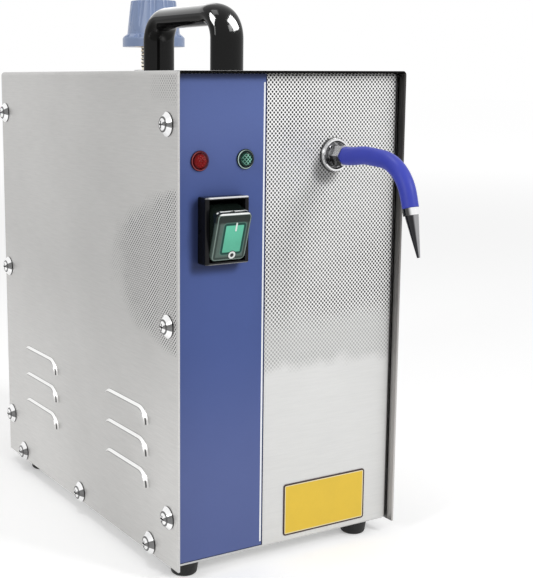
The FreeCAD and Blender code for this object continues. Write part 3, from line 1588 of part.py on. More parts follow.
def make_pedal_socket():
    """A round socket for the foot pedal's plug, with two contact pins."""
    level = case_bottom + d.pedal_height
    flange, thread, room = d.pedal_flange / 2, d.pedal_thread / 2, d.pedal_well / 2
    floor = d.pedal_proud - d.pedal_well_depth
    socket = turned("pedal_socket", [
        (0, -d.pedal_depth), (thread, -d.pedal_depth), (thread, 0), (flange, 0),
        (flange, d.pedal_proud / 3), (thread, d.pedal_proud / 3), (thread, d.pedal_proud),
        (room, d.pedal_proud), (room, floor), (0, floor),
    ])
    pins = new_sketch(socket, "pins", floor - TOUCH)
    for side in (-1, 1):
        draw_circle(pins, d.pedal_contact_spread / 2 * side, 0, d.pedal_contact)
    pad(socket, pins, d.pedal_contact_length)
    place(socket, -d.pedal_left, back_face, level, BACKWARD)
    keep(socket, "pedal_socket")


def make_terminal_block():
    """A screw terminal block on the base tray."""
    half_wide, half_long = d.block_width / 2, d.block_length / 2
    top = tray_top + d.block_height
    body = new_body("terminal_block")
    slab(body, "moulding", (-half_wide, -half_long, half_wide, half_long), tray_top, top)
    step = new_sketch(body, "step", top)
    draw_box(step, -half_wide, -half_long, -half_wide / 2, half_long)
    pocket(body, step, d.block_height / 3)
    first = d.block_pitch * (d.block_screws - 1) / 2
    for n in range(int(d.block_screws.value)):
        bore(body, "screw_well", d.block_screw / 2, d.block_pitch * n - first, d.block_screw,
             top - d.block_height / 2, top)
    place(body, d.block_side_inset - half_width, d.case_setback, 0)
    keep(body, "terminal_block")


# ---- the whole machine ---------------------------------------------------------------------


def check_document():
    """Stop if any object of the document failed or any piece has a bad shape."""
    doc.recompute()
    failed = [thing.Name for thing in doc.Objects if {"Invalid", "Error"} & set(thing.State)]
    if failed:
        raise RuntimeError("failed: " + ", ".join(failed))
    for thing in pieces:
        shape = thing.Shape
        if shape.isNull() or not shape.isValid() or not shape.Solids:
            raise RuntimeError("%s has no sound solid" % thing.Label)


def export_pieces():
    os.makedirs("parts", exist_ok=True)
    for thing in pieces:
        thing.Shape.exportStep("parts/%s.step" % thing.Label)
        print("%-20s solids %2d  volume %10.1f" % (thing.Label, len(thing.Shape.Solids),
                                                   thing.Shape.Volume))
    print("%d pieces" % len(pieces))


for make in (
    make_outer_cover, make_base_tray, make_front_panel, make_rear_panel, make_control_strip,
    make_label_plate, make_feet, make_foot_screws, make_cover_fasteners, make_handle,
    make_handle_screws, make_filler_neck, make_cap, make_boiler, make_boiler_stand, make_heater,
    make_boiler_controls, make_steam_valve, make_pipes, make_spout, make_lamps, make_switch,
    make_drain, make_power_inlet, make_pedal_socket, make_terminal_block,
):
    make()
check_document()
export_pieces()
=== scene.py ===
"""Looks of a bench-top jewelry steam cleaner, dressed round its fixed frame."""

import logging
import math
from dataclasses import dataclass, field
from enum import Enum
from typing import Iterator, NamedTuple, Sequence

import bmesh
import bpy
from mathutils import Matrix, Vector


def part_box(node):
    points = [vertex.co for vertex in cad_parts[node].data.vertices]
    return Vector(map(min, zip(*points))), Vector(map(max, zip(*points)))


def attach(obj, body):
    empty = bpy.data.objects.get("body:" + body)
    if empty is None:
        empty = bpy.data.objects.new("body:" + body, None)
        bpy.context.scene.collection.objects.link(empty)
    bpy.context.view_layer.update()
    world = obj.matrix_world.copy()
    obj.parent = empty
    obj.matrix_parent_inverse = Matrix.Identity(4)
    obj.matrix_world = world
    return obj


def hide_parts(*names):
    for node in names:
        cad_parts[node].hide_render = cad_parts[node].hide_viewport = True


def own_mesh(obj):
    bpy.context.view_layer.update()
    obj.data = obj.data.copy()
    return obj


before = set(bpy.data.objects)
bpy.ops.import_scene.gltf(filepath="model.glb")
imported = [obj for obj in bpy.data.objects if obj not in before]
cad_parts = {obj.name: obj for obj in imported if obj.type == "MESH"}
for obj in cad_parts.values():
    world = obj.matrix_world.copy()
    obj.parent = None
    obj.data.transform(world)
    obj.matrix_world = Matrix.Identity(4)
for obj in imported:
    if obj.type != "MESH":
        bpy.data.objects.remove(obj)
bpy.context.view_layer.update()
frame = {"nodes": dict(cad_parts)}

log = logging.getLogger("steam_cleaner")

Pair = tuple[float, float]
Triple = tuple[float, float, float]
Colour = Triple
Socket = bpy.types.NodeSocket
Value = float | Sequence[float] | Socket

MM = 0.001
SCREEN_PITCH = 2.05 * MM
WHITE: Colour = (0.8, 0.8, 0.8)
BLACK: Colour = (0, 0, 0)
# The colour of painted shade and painted dark reflections on metal.
PAINTED_DARK: Colour = (0.02, 0.02, 0.022)
MADE: dict[str, bpy.types.Material] = {}


# ---- node trees ----


class Side(Enum):
    """Which way a group socket faces."""

    INTO = "INPUT"
    OUT = "OUTPUT"


class Ramp(NamedTuple):
    """An eased change from one level to another.

    Args:
        low: where it starts.
        high: where it ends.
        first: the level at or before low.
        last: the level at or past high.
    """

    low: float
    high: float
    first: float = 0.0
    last: float = 1.0


class Graph:
    """Adds nodes to one node tree and joins them."""

    def __init__(self, tree: bpy.types.NodeTree) -> None:
        """Work on one tree."""
        self.tree = tree

    def add(self, kind: str, **settings: object) -> bpy.types.Node:
        """Add a node.

        Args:
            kind: the node's type, without its Shader prefix if it has one.
            settings: properties to set on it.

        Returns:
            The node.
        """
        name = kind if kind.startswith("NodeGroup") else "ShaderNode" + kind
        node = self.tree.nodes.new(name)
        for key, value in settings.items():
            setattr(node, key, value)
        return node

    def feed(self, socket: Socket, value: Value) -> None:
        """Join a socket to another, or set its number.

        Args:
            socket: the socket that is fed.
            value: a socket to link, or a number, vector or colour.
        """
        if isinstance(value, bpy.types.NodeSocket):
            self.tree.links.new(value, socket)
        elif socket.type == "RGBA" and len(value) == 3:
            socket.default_value = (*value, 1)
        else:
            socket.default_value = value

    def feeds(self, node: bpy.types.Node, **values: Value) -> None:
        """Feed a node's inputs with values or sockets, by their names with _ for a space."""
        for name, value in values.items():
            self.feed(node.inputs[name.replace("_", " ")], value)

    def maths(self, operation: str, *values: Value) -> Socket:
        """Work out one number.

        Args:
            operation: the Math node's operation.
            values: its inputs in order.

        Returns:
            The result's socket.
        """
        node = self.add("Math", operation=operation)
        for socket, value in zip(node.inputs, values):
            self.feed(socket, value)
        return node.outputs[0]

    def chain(self, operation: str, first: Value, *others: Value) -> Socket:
        """Take numbers into one result, one after another.

        Args:
            operation: the Math node's operation.
            first: the number to start from.
            others: the numbers to take in, in order.

        Returns:
            The last result's socket.
        """
        for other in others:
            first = self.maths(operation, first, other)
        return first

    def times(self, *values: Value) -> Socket:
        """The product of some numbers."""
        return self.chain("MULTIPLY", *values)

    def plus(self, *values: Value) -> Socket:
        """The sum of some numbers."""
        return self.chain("ADD", *values)

    def less(self, value: Value, taken: Value) -> Socket:
        """A number with another taken from it."""
        return self.maths("SUBTRACT", value, taken)

    def most(self, *values: Value) -> Socket:
        """The largest of some numbers."""
        return self.chain("MAXIMUM", *values)

    def size(self, value: Value) -> Socket:
        """A number without its sign."""
        return self.maths("ABSOLUTE", value)

    def slant(self, across: Value, up: Value) -> Socket:
        """How far off a point is that is so far across and so far up."""
        return self.maths("SQRT", self.plus(self.times(across, across), self.times(up, up)))

    def swing(self, noise: Socket, reach: Value) -> Socket:
        """Noise from 0 to 1 as a number that swings about 0, over the given reach."""
        return self.times(self.less(noise, 0.5), reach)

    def about_one(self, noise: Socket, amount: Value) -> Socket:
        """Noise from 0 to 1 as a shade that differs from 1 by an amount at most."""
        return self.plus(1, self.times(self.swing(noise, amount), 2))

    def vectors(self, operation: str, *values: Value) -> Socket:
        """Work out one vector, or a number for a dot product or a length.

        Args:
            operation: the Vector Math node's operation.
            values: its inputs in order.

        Returns:
            The result's socket.
        """
        node = self.add("VectorMath", operation=operation)
        for socket, value in zip(node.inputs, values):
            self.feed(socket, value)
        scalar = operation in {"DOT_PRODUCT", "LENGTH"}
        return node.outputs[1 if scalar else 0]

    def mix(self, factor: Value, first: Value, second: Value) -> Socket:
        """Blend two colours.

        Args:
            factor: 0 gives the first, 1 the second.
            first: a colour or socket.
            second: a colour or socket.

        Returns:
            The blended colour's socket.
        """
        node = self.add("Mix", data_type="RGBA")
        self.feed(node.inputs[0], factor)
        self.feed(node.inputs[6], first)
        self.feed(node.inputs[7], second)
        return node.outputs[2]

    def tint(self, colour: Value, shade: Value) -> Socket:
        """Multiply a colour by a grey number.

        Args:
            colour: a colour or socket.
            shade: the number, about 1.

        Returns:
            The shaded colour's socket.
        """
        node = self.add("VectorMath", operation="SCALE")
        self.feed(node.inputs[0], colour)
        self.feed(node.inputs[3], shade)
        return node.outputs[0]

    def step(
        self, value: Value, low: float, high: float, out_low: float = 0, out_high: float = 1
    ) -> Socket:
        """Ease a number from one level to another.

        Args:
            value: the number that moves.
            low: where the rise starts.
            high: where it ends.
            out_low: the result at or before low.
            out_high: the result at or past high.

        Returns:
            The eased number's socket.
        """
        node = self.add("MapRange", interpolation_type="SMOOTHSTEP")
        for socket, item in zip(node.inputs, (value, low, high, out_low, out_high)):
            self.feed(socket, item)
        return node.outputs[0]

    def band(self, value: Value, middle: float, full: float, gone: float, peak: float = 1) -> Socket:
        """A level that holds its peak as far as full from the middle, and is 0 from gone on."""
        return self.step(self.size(self.less(value, middle)), full, gone, peak, 0)

    def place(self) -> Socket:
        """The point being shaded, in the part's own frame."""
        return self.add("TexCoord").outputs["Object"]

    def axes(self, vector: Socket) -> list[Socket]:
        """Take a vector apart.

        Args:
            vector: the vector.

        Returns:
            Its three numbers' sockets.
        """
        node = self.add("SeparateXYZ")
        self.feed(node.inputs[0], vector)
        return list(node.outputs)

    def here(self) -> list[Socket]:
        """The X, Y and Z of the point being shaded."""
        return self.axes(self.place())

    def noise(self, vector: Socket, scale: Value, detail: float = 2, rough: float = 0.5) -> Socket:
        """Noise from 0 to 1.

        Args:
            vector: where it is read.
            scale: features per metre.
            detail: how many finer layers are added.
            rough: how strong the finer layers are.

        Returns:
            The noise's socket.
        """
        node = self.add("TexNoise")
        self.feeds(node, Vector=vector, Scale=scale, Detail=detail, Roughness=rough)
        return node.outputs[0]

    def bump(self, height: Socket, distance: float, strength: float) -> Socket:
        """A normal from a height.

        Args:
            height: the height, 0 to 1.
            distance: how far 1 stands up, in metres.
            strength: how much of it shows.

        Returns:
            The normal's socket.
        """
        node = self.add("Bump")
        self.feeds(node, Height=height, Distance=distance, Strength=strength)
        return node.outputs[0]


@dataclass(frozen=True)
class Port:
    """A named socket of a group.

    Args:
        name: the socket's name.
        kind: the socket's type.
        start: its value when nothing feeds it.
    """

    name: str
    kind: str = "NodeSocketFloat"
    start: float | Triple = 0.0


class Effect:
    """A shader node group with named inputs and outputs, built once."""

    name = "effect"
    takes: tuple[Port, ...] = ()
    gives: tuple[Port, ...] = ()
    built: dict[str, bpy.types.NodeTree] = {}

    def wire(self, graph: Graph, given: dict[str, Socket]) -> dict[str, Socket]:
        """Make the group's inside from its inputs, and give the sockets to put out, by name."""
        raise NotImplementedError

    def tree(self) -> bpy.types.NodeTree:
        """The group's tree, made the first time it is asked for.

        Returns:
            The tree.
        """
        if self.name in Effect.built:
            return Effect.built[self.name]
        tree = bpy.data.node_groups.new(self.name, "ShaderNodeTree")
        for side, ports in ((Side.INTO, self.takes), (Side.OUT, self.gives)):
            for port in ports:
                socket = tree.interface.new_socket(
                    name=port.name, in_out=side.value, socket_type=port.kind
                )
                if side is Side.INTO:
                    socket.default_value = port.start
        graph = Graph(tree)
        source = graph.add("NodeGroupInput")
        sink = graph.add("NodeGroupOutput")
        results = self.wire(graph, {port.name: source.outputs[port.name] for port in self.takes})
        for name, socket in results.items():
            graph.feed(sink.inputs[name], socket)
        Effect.built[self.name] = tree
        return tree

    def use(self, graph: Graph, **values: Value) -> dict[str, Socket]:
        """Place the group in a material.

        Args:
            graph: the material's graph.
            values: inputs by name, with _ for a space.

        Returns:
            The group's outputs by name.
        """
        node = graph.add("Group")
        node.node_tree = self.tree()
        graph.feeds(node, **values)
        return {socket.name: socket for socket in node.outputs}


class Grain(Effect):
    """Fine drawn lines of rolled and brushed sheet."""

    name = "sheet_grain"
    takes = (Port("Stretch", "NodeSocketVector", (1, 1, 1)), Port("Amount", start=0.1))
    gives = (Port("Shade"), Port("Height"))

    def wire(self, graph: Graph, given: dict[str, Socket]) -> dict[str, Socket]:
        """Mix long fine lines with short speckle.

        Args:
            graph: the group's graph.
            given: its inputs by name.

        Returns:
            A shade about 1, and the height that it comes from.
        """
        drawn = graph.vectors("MULTIPLY", graph.place(), given["Stretch"])
        lines = graph.noise(drawn, 1, 3, 0.6)
        speckle = graph.noise(graph.place(), 1600, 1)
        height = graph.plus(graph.times(lines, 0.6), graph.times(speckle, 0.4))
        return {"Shade": graph.about_one(height, given["Amount"]), "Height": height}


class Mottle(Effect):
    """Broad soft changes of tone, as handling and light wear leave."""

    name = "soft_mottle"
    takes = (Port("Scale", start=12.0), Port("Amount", start=0.05))
    gives = (Port("Shade"), Port("Fac"))

    def wire(self, graph: Graph, given: dict[str, Socket]) -> dict[str, Socket]:
        """Turn wide noise into a shade about 1, and give both."""
        wide = graph.noise(graph.place(), given["Scale"], 3, 0.55)
        return {"Shade": graph.about_one(wide, given["Amount"]), "Fac": wide}


class Dots(Effect):
    """A printed screen of round dots on a square grid turned an eighth of a turn."""

    name = "dot_screen"
    takes = (Port("Across"), Port("Up"), Port("Pitch", start=0.002), Port("Radius", start=0.0005))
    gives = (Port("Mask"),)

    def wire(self, graph: Graph, given: dict[str, Socket]) -> dict[str, Socket]:
        """Measure to the nearest dot's middle.

        Args:
            graph: the group's graph.
            given: its inputs by name.

        Returns:
            A mask that is 1 on a dot.
        """
        span = graph.times(given["Pitch"], math.sqrt(2))
        offsets = []
        for sign in ("ADD", "SUBTRACT"):
            turned = graph.maths("DIVIDE", graph.maths(sign, given["Across"], given["Up"]), span)
            offsets.append(graph.times(graph.less(graph.maths("FRACT", turned), 0.5), given["Pitch"]))
        inside = graph.less(given["Radius"], graph.slant(*offsets))
        return {"Mask": graph.step(inside, -0.1 * MM, 0.1 * MM)}


class Plate(Effect):
    """A mask of a flat rectangle with round corners, lying anywhere."""

    name = "plate_mask"
    takes = (
        Port("Centre", "NodeSocketVector", (0, 0, 0)),
        Port("Across", "NodeSocketVector", (1, 0, 0)),
        Port("Up", "NodeSocketVector", (0, 0, 1)),
        Port("Half Width", start=0.01),
        Port("Half Height", start=0.01),
        Port("Corner"),
        Port("Soft", start=0.0001),
    )
    gives = (Port("Mask"), Port("Distance"))

    def wire(self, graph: Graph, given: dict[str, Socket]) -> dict[str, Socket]:
        """Measure how far a point is outside the rounded outline.

        Args:
            graph: the group's graph.
            given: its inputs by name.

        Returns:
            A mask that is 1 inside, and the distance to the outline, below 0 inside.
        """
        away = graph.vectors("SUBTRACT", graph.place(), given["Centre"])
        outside = []
        for axis, half in (("Across", "Half Width"), ("Up", "Half Height")):
            along = graph.size(graph.vectors("DOT_PRODUCT", away, given[axis]))
            outside.append(graph.less(along, graph.less(given[half], given["Corner"])))
        past_corner = graph.slant(*(graph.most(item, 0) for item in outside))
        inner = graph.maths("MINIMUM", graph.most(*outside), 0)
        distance = graph.less(graph.plus(past_corner, inner), given["Corner"])
        faded = graph.maths("DIVIDE", distance, given["Soft"])
        return {"Mask": graph.step(faded, 1, -1), "Distance": distance}


class Skin(Effect):
    """The faint skin of a moulded, painted or cast surface."""

    name = "moulded_skin"
    takes = (Port("Scale", start=900.0), Port("Amount", start=0.05))
    gives = (Port("Shade"), Port("Height"))

    def wire(self, graph: Graph, given: dict[str, Socket]) -> dict[str, Socket]:
        """Mix two sizes of cell.

        Args:
            graph: the group's graph.
            given: its inputs by name.

        Returns:
            A shade about 1, and the height that it comes from.
        """
        fine = graph.noise(graph.place(), given["Scale"])
        coarse = graph.noise(graph.place(), graph.times(given["Scale"], 0.07))
        height = graph.plus(graph.times(fine, 0.5), graph.times(coarse, 0.5))
        return {"Shade": graph.about_one(height, given["Amount"]), "Height": height}


GRAIN, MOTTLE, DOTS, PLATE, SKIN = Grain(), Mottle(), Dots(), Plate(), Skin()


def past_outline(
    graph: Graph, centre: Triple, half: Pair, corner: float, up: Triple = (0, 0, 1)
) -> Socket:
    """How far a point is past the outline of a rectangle with round corners.

    Args:
        graph: the material's graph.
        centre: the rectangle's middle, in metres.
        half: half its width and height.
        corner: its corners' radius.
        up: the direction of its height.

    Returns:
        The distance to the outline, below 0 inside.
    """
    sizes = {"Half_Width": half[0], "Half_Height": half[1], "Corner": corner}
    return PLATE.use(graph, Centre=centre, Up=up, **sizes)["Distance"]


# ---- finishes ----


@dataclass(frozen=True)
class Finish:
    """A surface finish that makes one material.

    Args:
        name: the material's name.
        colour: its base colour, linear.
        rough: how rough it is, 0 to 1.
    """

    name: str
    colour: Colour
    rough: float

    def make(self) -> bpy.types.Material:
        """The material, made the first time it is asked for.

        Returns:
            The material.
        """
        if self.name in MADE:
            return MADE[self.name]
        made = MADE[self.name] = bpy.data.materials.new(self.name)
        made.use_nodes = True
        made.diffuse_color = (*self.colour, 1)
        graph = Graph(made.node_tree)
        shader = made.node_tree.nodes["Principled BSDF"]
        shader.inputs["Base Color"].default_value = (*self.colour, 1)
        shader.inputs["Roughness"].default_value = self.rough
        self.shade(graph, shader)
        return made

    def shade(self, graph: Graph, shader: bpy.types.Node) -> None:
        """Wire the surface's detail to the material's shader."""
        raise NotImplementedError

    def roughness(
        self,
        graph: Graph,
        level: Socket,
        smoother: float,
        rougher: float,
        over: Pair = (0.3, 0.7),
        least: float = 0.0,
    ) -> Socket:
        """The roughness, which goes from smoother to rougher than its own over two levels."""
        return graph.step(level, *over, max(self.rough - smoother, least), self.rough + rougher)


@dataclass(frozen=True)
class Sheet(Finish):
    """Plain stainless sheet with drawn grain.

    Args:
        stretch: grain lines per metre along X, Y and Z.
        grain: how much the grain changes the tone.
        cloud: how much the tone drifts over the sheet.
    """

    stretch: Triple
    grain: float
    cloud: float

    def tone(self, graph: Graph) -> tuple[Socket, Socket]:
        """The bare sheet, before anything is printed on it.

        Args:
            graph: the material's graph.

        Returns:
            Its colour and its grain's height.
        """
        grain = GRAIN.use(graph, Stretch=self.stretch, Amount=self.grain)
        cloud = MOTTLE.use(graph, Scale=7.0, Amount=self.cloud)
        return graph.tint(self.colour, graph.times(grain["Shade"], cloud["Shade"])), grain["Height"]

    def lay(
        self,
        graph: Graph,
        shader: bpy.types.Node,
        colour: Socket,
        height: Socket,
        smoother: float = 0.06,
        metallic: float = 1,
    ) -> None:
        """Feed the sheet's colour and grain to its shader.

        Args:
            graph: the material's graph.
            shader: its shader.
            colour: the sheet's colour with all that is on it.
            height: its grain's height.
            smoother: how much smoother than its own roughness it gets.
            metallic: how much of it is bare metal, 0 to 1.
        """
        graph.feeds(
            shader,
            Base_Color=colour,
            Roughness=self.roughness(graph, height, smoother, 0.08, (0.2, 0.8)),
            Normal=graph.bump(height, 0.02 * MM, 0.5),
            Metallic=metallic,
        )

    def shade(self, graph: Graph, shader: bpy.types.Node) -> None:
        """Wire bare metal with its grain."""
        self.lay(graph, shader, *self.tone(graph))


@dataclass(frozen=True, kw_only=True)
class CoverSheet(Sheet):
    """The wrap-round cover: a dot print near its front edge, left by wear, painted light and shade over its
    sides, and painted shade where it hoods the panel.

    Args:
        low: the sheet's lowest corner, in metres.
        high: its highest corner.
        panel: where the recessed front panel is along Y, in metres.
        half: half the cover's width over its flat sides.
        sill: the height of the lowest louvre's sill.
        pitch: the height from one sill to the next.
        shade_upward: painted light and shade from the foot up.
        shade_rearward: painted light and shade over the rear half, from the middle back.
        forward: painted light and shade over the front half, from the front edge back.
        dot: a printed dot's radius.
        patch: the height of the dotted patch's middle, and half the patch's height.
        reach: how far back from the front edge the patch goes at its middle.
        ragged: how far its edge wanders.
        corner: how much further back the dots go near the top, by height.
        wear_and_glint: how strong the dots are, as wear leaves them, by height.
        ink: the dots' colour.
        crease: the colour of the painted shade in the creases round a louvre.
        louvre_highlight: the colour of the painted highlight on a louvre's pressed back.
        slot_shade: the colour of the painted shade in a louvre's slot.
        hood_shade: the tint of the painted shade on the sheet that hoods the panel.
        fall: how light that painted shade leaves the sheet, by height.
    """

    low: Triple
    high: Triple
    panel: float
    half: float
    sill: float = 0.0545
    pitch: float = 0.022
    shade_upward: Ramp = Ramp(0.08, 0.21, 1.13, 0.97)
    shade_rearward: Ramp = Ramp(-0.03, 0.10, 0.95, 1.08)
    forward: Ramp = Ramp(-0.13, -0.04, 1.05, 1)
    dot: float = 0.62 * MM
    patch: Pair = (0.206, 0.054)
    reach: float = 106 * MM
    ragged: float = 64 * MM
    corner: Ramp = Ramp(0.300, 0.322, -6 * MM, 40 * MM)
    wear_and_glint: Ramp = Ramp(0.28, 0.30, 1, 0.55)
    ink: Colour = (0.05, 0.05, 0.055)
    crease: Colour = (0.16, 0.16, 0.16)
    louvre_highlight: Colour = (0.93, 0.93, 0.92)
    slot_shade: Colour = (0.03, 0.03, 0.03)
    hood_shade: Colour = (1, 0.965, 0.94)
    fall: Ramp = Ramp(0.05, 0.30, 0.50, 0.06)

    def worn_print(self, graph: Graph, colour: Socket, stand: Socket) -> Socket:
        """Print the dots that are left behind the front edge, on the flat of the sides.

        Args:
            graph: the material's graph.
            colour: the sheet's colour so far.
            stand: how far out of the flat side a point stands.

        Returns:
            The colour with the dots.
        """
        _, y, z = graph.here()
        front = self.low[1]
        dots = DOTS.use(graph, Across=y, Up=z, Pitch=SCREEN_PITCH, Radius=self.dot)["Mask"]
        dots = graph.times(dots, graph.step(stand, -0.2 * MM, -0.05 * MM))
        middle, half = self.patch
        lift = graph.maths("DIVIDE", graph.less(z, middle), half)
        bow = graph.maths("SQRT", graph.most(graph.less(1, graph.times(lift, lift)), 0))
        reach = graph.plus(graph.times(bow, self.reach), graph.step(z, *self.corner))
        wander = graph.swing(graph.noise(graph.place(), 34, 5, 0.7), self.ragged)
        inside = graph.less(graph.plus(reach, wander), graph.less(y, front))
        near = graph.times(
            graph.step(inside, 0, 34 * MM),
            graph.step(y, front + 0.8 * MM, front + 3 * MM),
            graph.step(z, *self.wear_and_glint),
        )
        colour = graph.tint(colour, graph.step(near, 0, 1, 1, 1.12))
        return graph.mix(graph.times(near, dots), colour, self.ink)

    def louvres(self, graph: Graph, colour: Socket, stand: Socket) -> Socket:
        """Paint shade into the louvres' creases and slots, and a highlight on their backs.

        Args:
            graph: the material's graph.
            colour: the sheet's colour so far.
            stand: how far out of the flat side a point stands.

        Returns:
            The colour with the painted shade and highlights on the louvres.
        """
        _, _, z = graph.here()
        sill = graph.maths("FRACT", graph.maths("DIVIDE", graph.less(z, self.sill), self.pitch))
        brow = graph.step(stand, 2.2 * MM, 2.35 * MM, 1, 0)
        rise = graph.times(graph.step(stand, 0.05 * MM, 0.2 * MM), brow)
        above = graph.times(rise, graph.step(sill, 0.20, 0.27))
        inner_crease = graph.step(stand, 0.2 * MM, 0.5 * MM, 1, 0)
        crease = graph.most(inner_crease, graph.step(stand, 1.85 * MM, 2.1 * MM))
        # Painted shade in the creases and a painted highlight on the pressed back.
        colour = graph.mix(graph.times(above, crease), colour, self.crease)
        colour = graph.mix(graph.times(above, graph.less(1, crease)), colour, self.louvre_highlight)
        # Painted shade in the slot.
        core = graph.band(stand, 1.3 * MM, 0.3 * MM, 0.55 * MM)
        slot = graph.times(rise, core, graph.step(sill, 0.19, 0.25, 0.9, 0))
        return graph.mix(slot, colour, self.slot_shade)

    def hood(self, graph: Graph, colour: Socket) -> Socket:
        """Paint shade on the inner faces of the sheet where it stands forward of the panel.

        Args:
            graph: the material's graph.
            colour: the sheet's colour so far.

        Returns:
            The colour with the painted shade under the hood.
        """
        x, y, z = graph.here()
        top = self.high[2]
        # Painted shade, darker towards the top, under the lip and in the corner by the panel.
        inner_face = graph.times(
            graph.step(x, self.half - 0.1 * MM, self.half, 1, 0),
            graph.step(x, 1.65 * MM - self.half, 1.4 * MM - self.half, 1, 0),
            graph.step(z, top - 0.15 * MM, top - 0.05 * MM, 1, 0),
            graph.step(y, self.panel, self.panel + 0.2 * MM, 1, 0),
        )
        corner = graph.step(y, self.panel - 1.3 * MM, self.panel - 0.7 * MM, 1, 0.05)
        lip = graph.step(z, top - 2.4 * MM, top - 1.6 * MM, 1, 0.1)
        fall = graph.times(graph.step(z, *self.fall), corner, lip)
        return graph.mix(inner_face, colour, graph.tint(self.hood_shade, fall))

    def shade(self, graph: Graph, shader: bpy.types.Node) -> None:
        """Wire the grain, the painted light and shade, the dots, the louvres and the painted shade under the
        hood.

        Args:
            graph: the material's graph.
            shader: its shader.
        """
        x, y, z = graph.here()
        colour, height = self.tone(graph)
        # Painted light and shade over the sides, by height and by depth.
        colour = graph.tint(colour, graph.step(z, *self.shade_upward))
        colour = graph.tint(colour, graph.times(graph.step(y, *self.shade_rearward), graph.step(y, *self.forward)))
        stand = graph.less(graph.size(x), self.half)
        colour = self.worn_print(graph, colour, stand)
        colour = self.louvres(graph, colour, stand)
        colour = self.hood(graph, colour)
        self.lay(graph, shader, colour, height)


@dataclass(frozen=True, kw_only=True)
class DottedSheet(Sheet):
    """The front panel: a dark dot screen that thins and then stops towards the bottom, with painted shade on
    its side bends and a painted shadow by the spout.

    Args:
        clear: the height below which no dots show, in metres.
        thin: the height below which they are faint.
        full: the height above which they are strongest.
        ink: the dots' colour.
        edge: how far from the middle the panel's side bends start, where shade is painted.
        spout: the middle of the plate round the spout, in metres.
        dot: a dot's radius from the lower rows up.
        row_scale: the columns' spacing as a share of the rows'.
        ragged: how far the heights above wander across the panel.
        spout_shadow: how far left of the spout plate's middle, and how far below it, the painted shadow sits.
        spout_shadow_half: half the painted shadow's width.
    """

    clear: float = 0.128
    thin: float = 0.150
    full: float = 0.178
    ink: Colour = (0.012, 0.012, 0.013)
    edge: float = 0.0858
    spout: Triple
    dot: Ramp = Ramp(0.19, 0.28, 0.80 * MM, 0.76 * MM)
    row_scale: float = 0.972
    ragged: float = 22 * MM
    spout_shadow: Pair = (7 * MM, 9 * MM)
    spout_shadow_half: float = 6 * MM

    def shade(self, graph: Graph, shader: bpy.types.Node) -> None:
        """Wire the grain, the dot screen, the painted shade on the side bends and the painted shadow by the
        spout.

        Args:
            graph: the material's graph.
            shader: its shader.
        """
        x, _, z = graph.here()
        colour, height = self.tone(graph)
        level = graph.plus(z, graph.swing(graph.noise(graph.place(), 45, 3, 0.6), self.ragged))
        colour = graph.tint(colour, graph.step(level, self.thin, self.full, 0.98, 1.26))
        row = graph.times(z, self.row_scale)
        size = graph.step(z, *self.dot)
        dots = DOTS.use(graph, Across=x, Up=row, Pitch=SCREEN_PITCH, Radius=size)["Mask"]
        strong = graph.step(level, self.thin, self.full, 0.45, 1)
        shown = graph.step(level, self.clear, self.clear + 12 * MM)
        patch = graph.step(graph.noise(graph.place(), 14, 2, 0.6), 0.25, 0.7, 0.85, 1)
        colour = graph.mix(graph.times(strong, shown, patch, dots), colour, self.ink)
        # Painted shade on the side bends, and a painted shadow below and left of the spout plate.
        bend = graph.step(graph.size(x), self.edge, self.edge + 1.9 * MM, 1, 0.12)
        spout_shadow = (self.spout[0] - self.spout_shadow[0], self.spout[1], self.spout[2] - self.spout_shadow[1])
        painted_shade = past_outline(graph, spout_shadow, (self.spout_shadow_half, self.spout_shadow_half), self.spout_shadow_half - 0.1 * MM)
        dark = graph.times(bend, graph.step(painted_shade, 0, 8 * MM, 0.45, 1))
        self.lay(graph, shader, graph.tint(colour, dark), height, smoother=0.05, metallic=0.55)


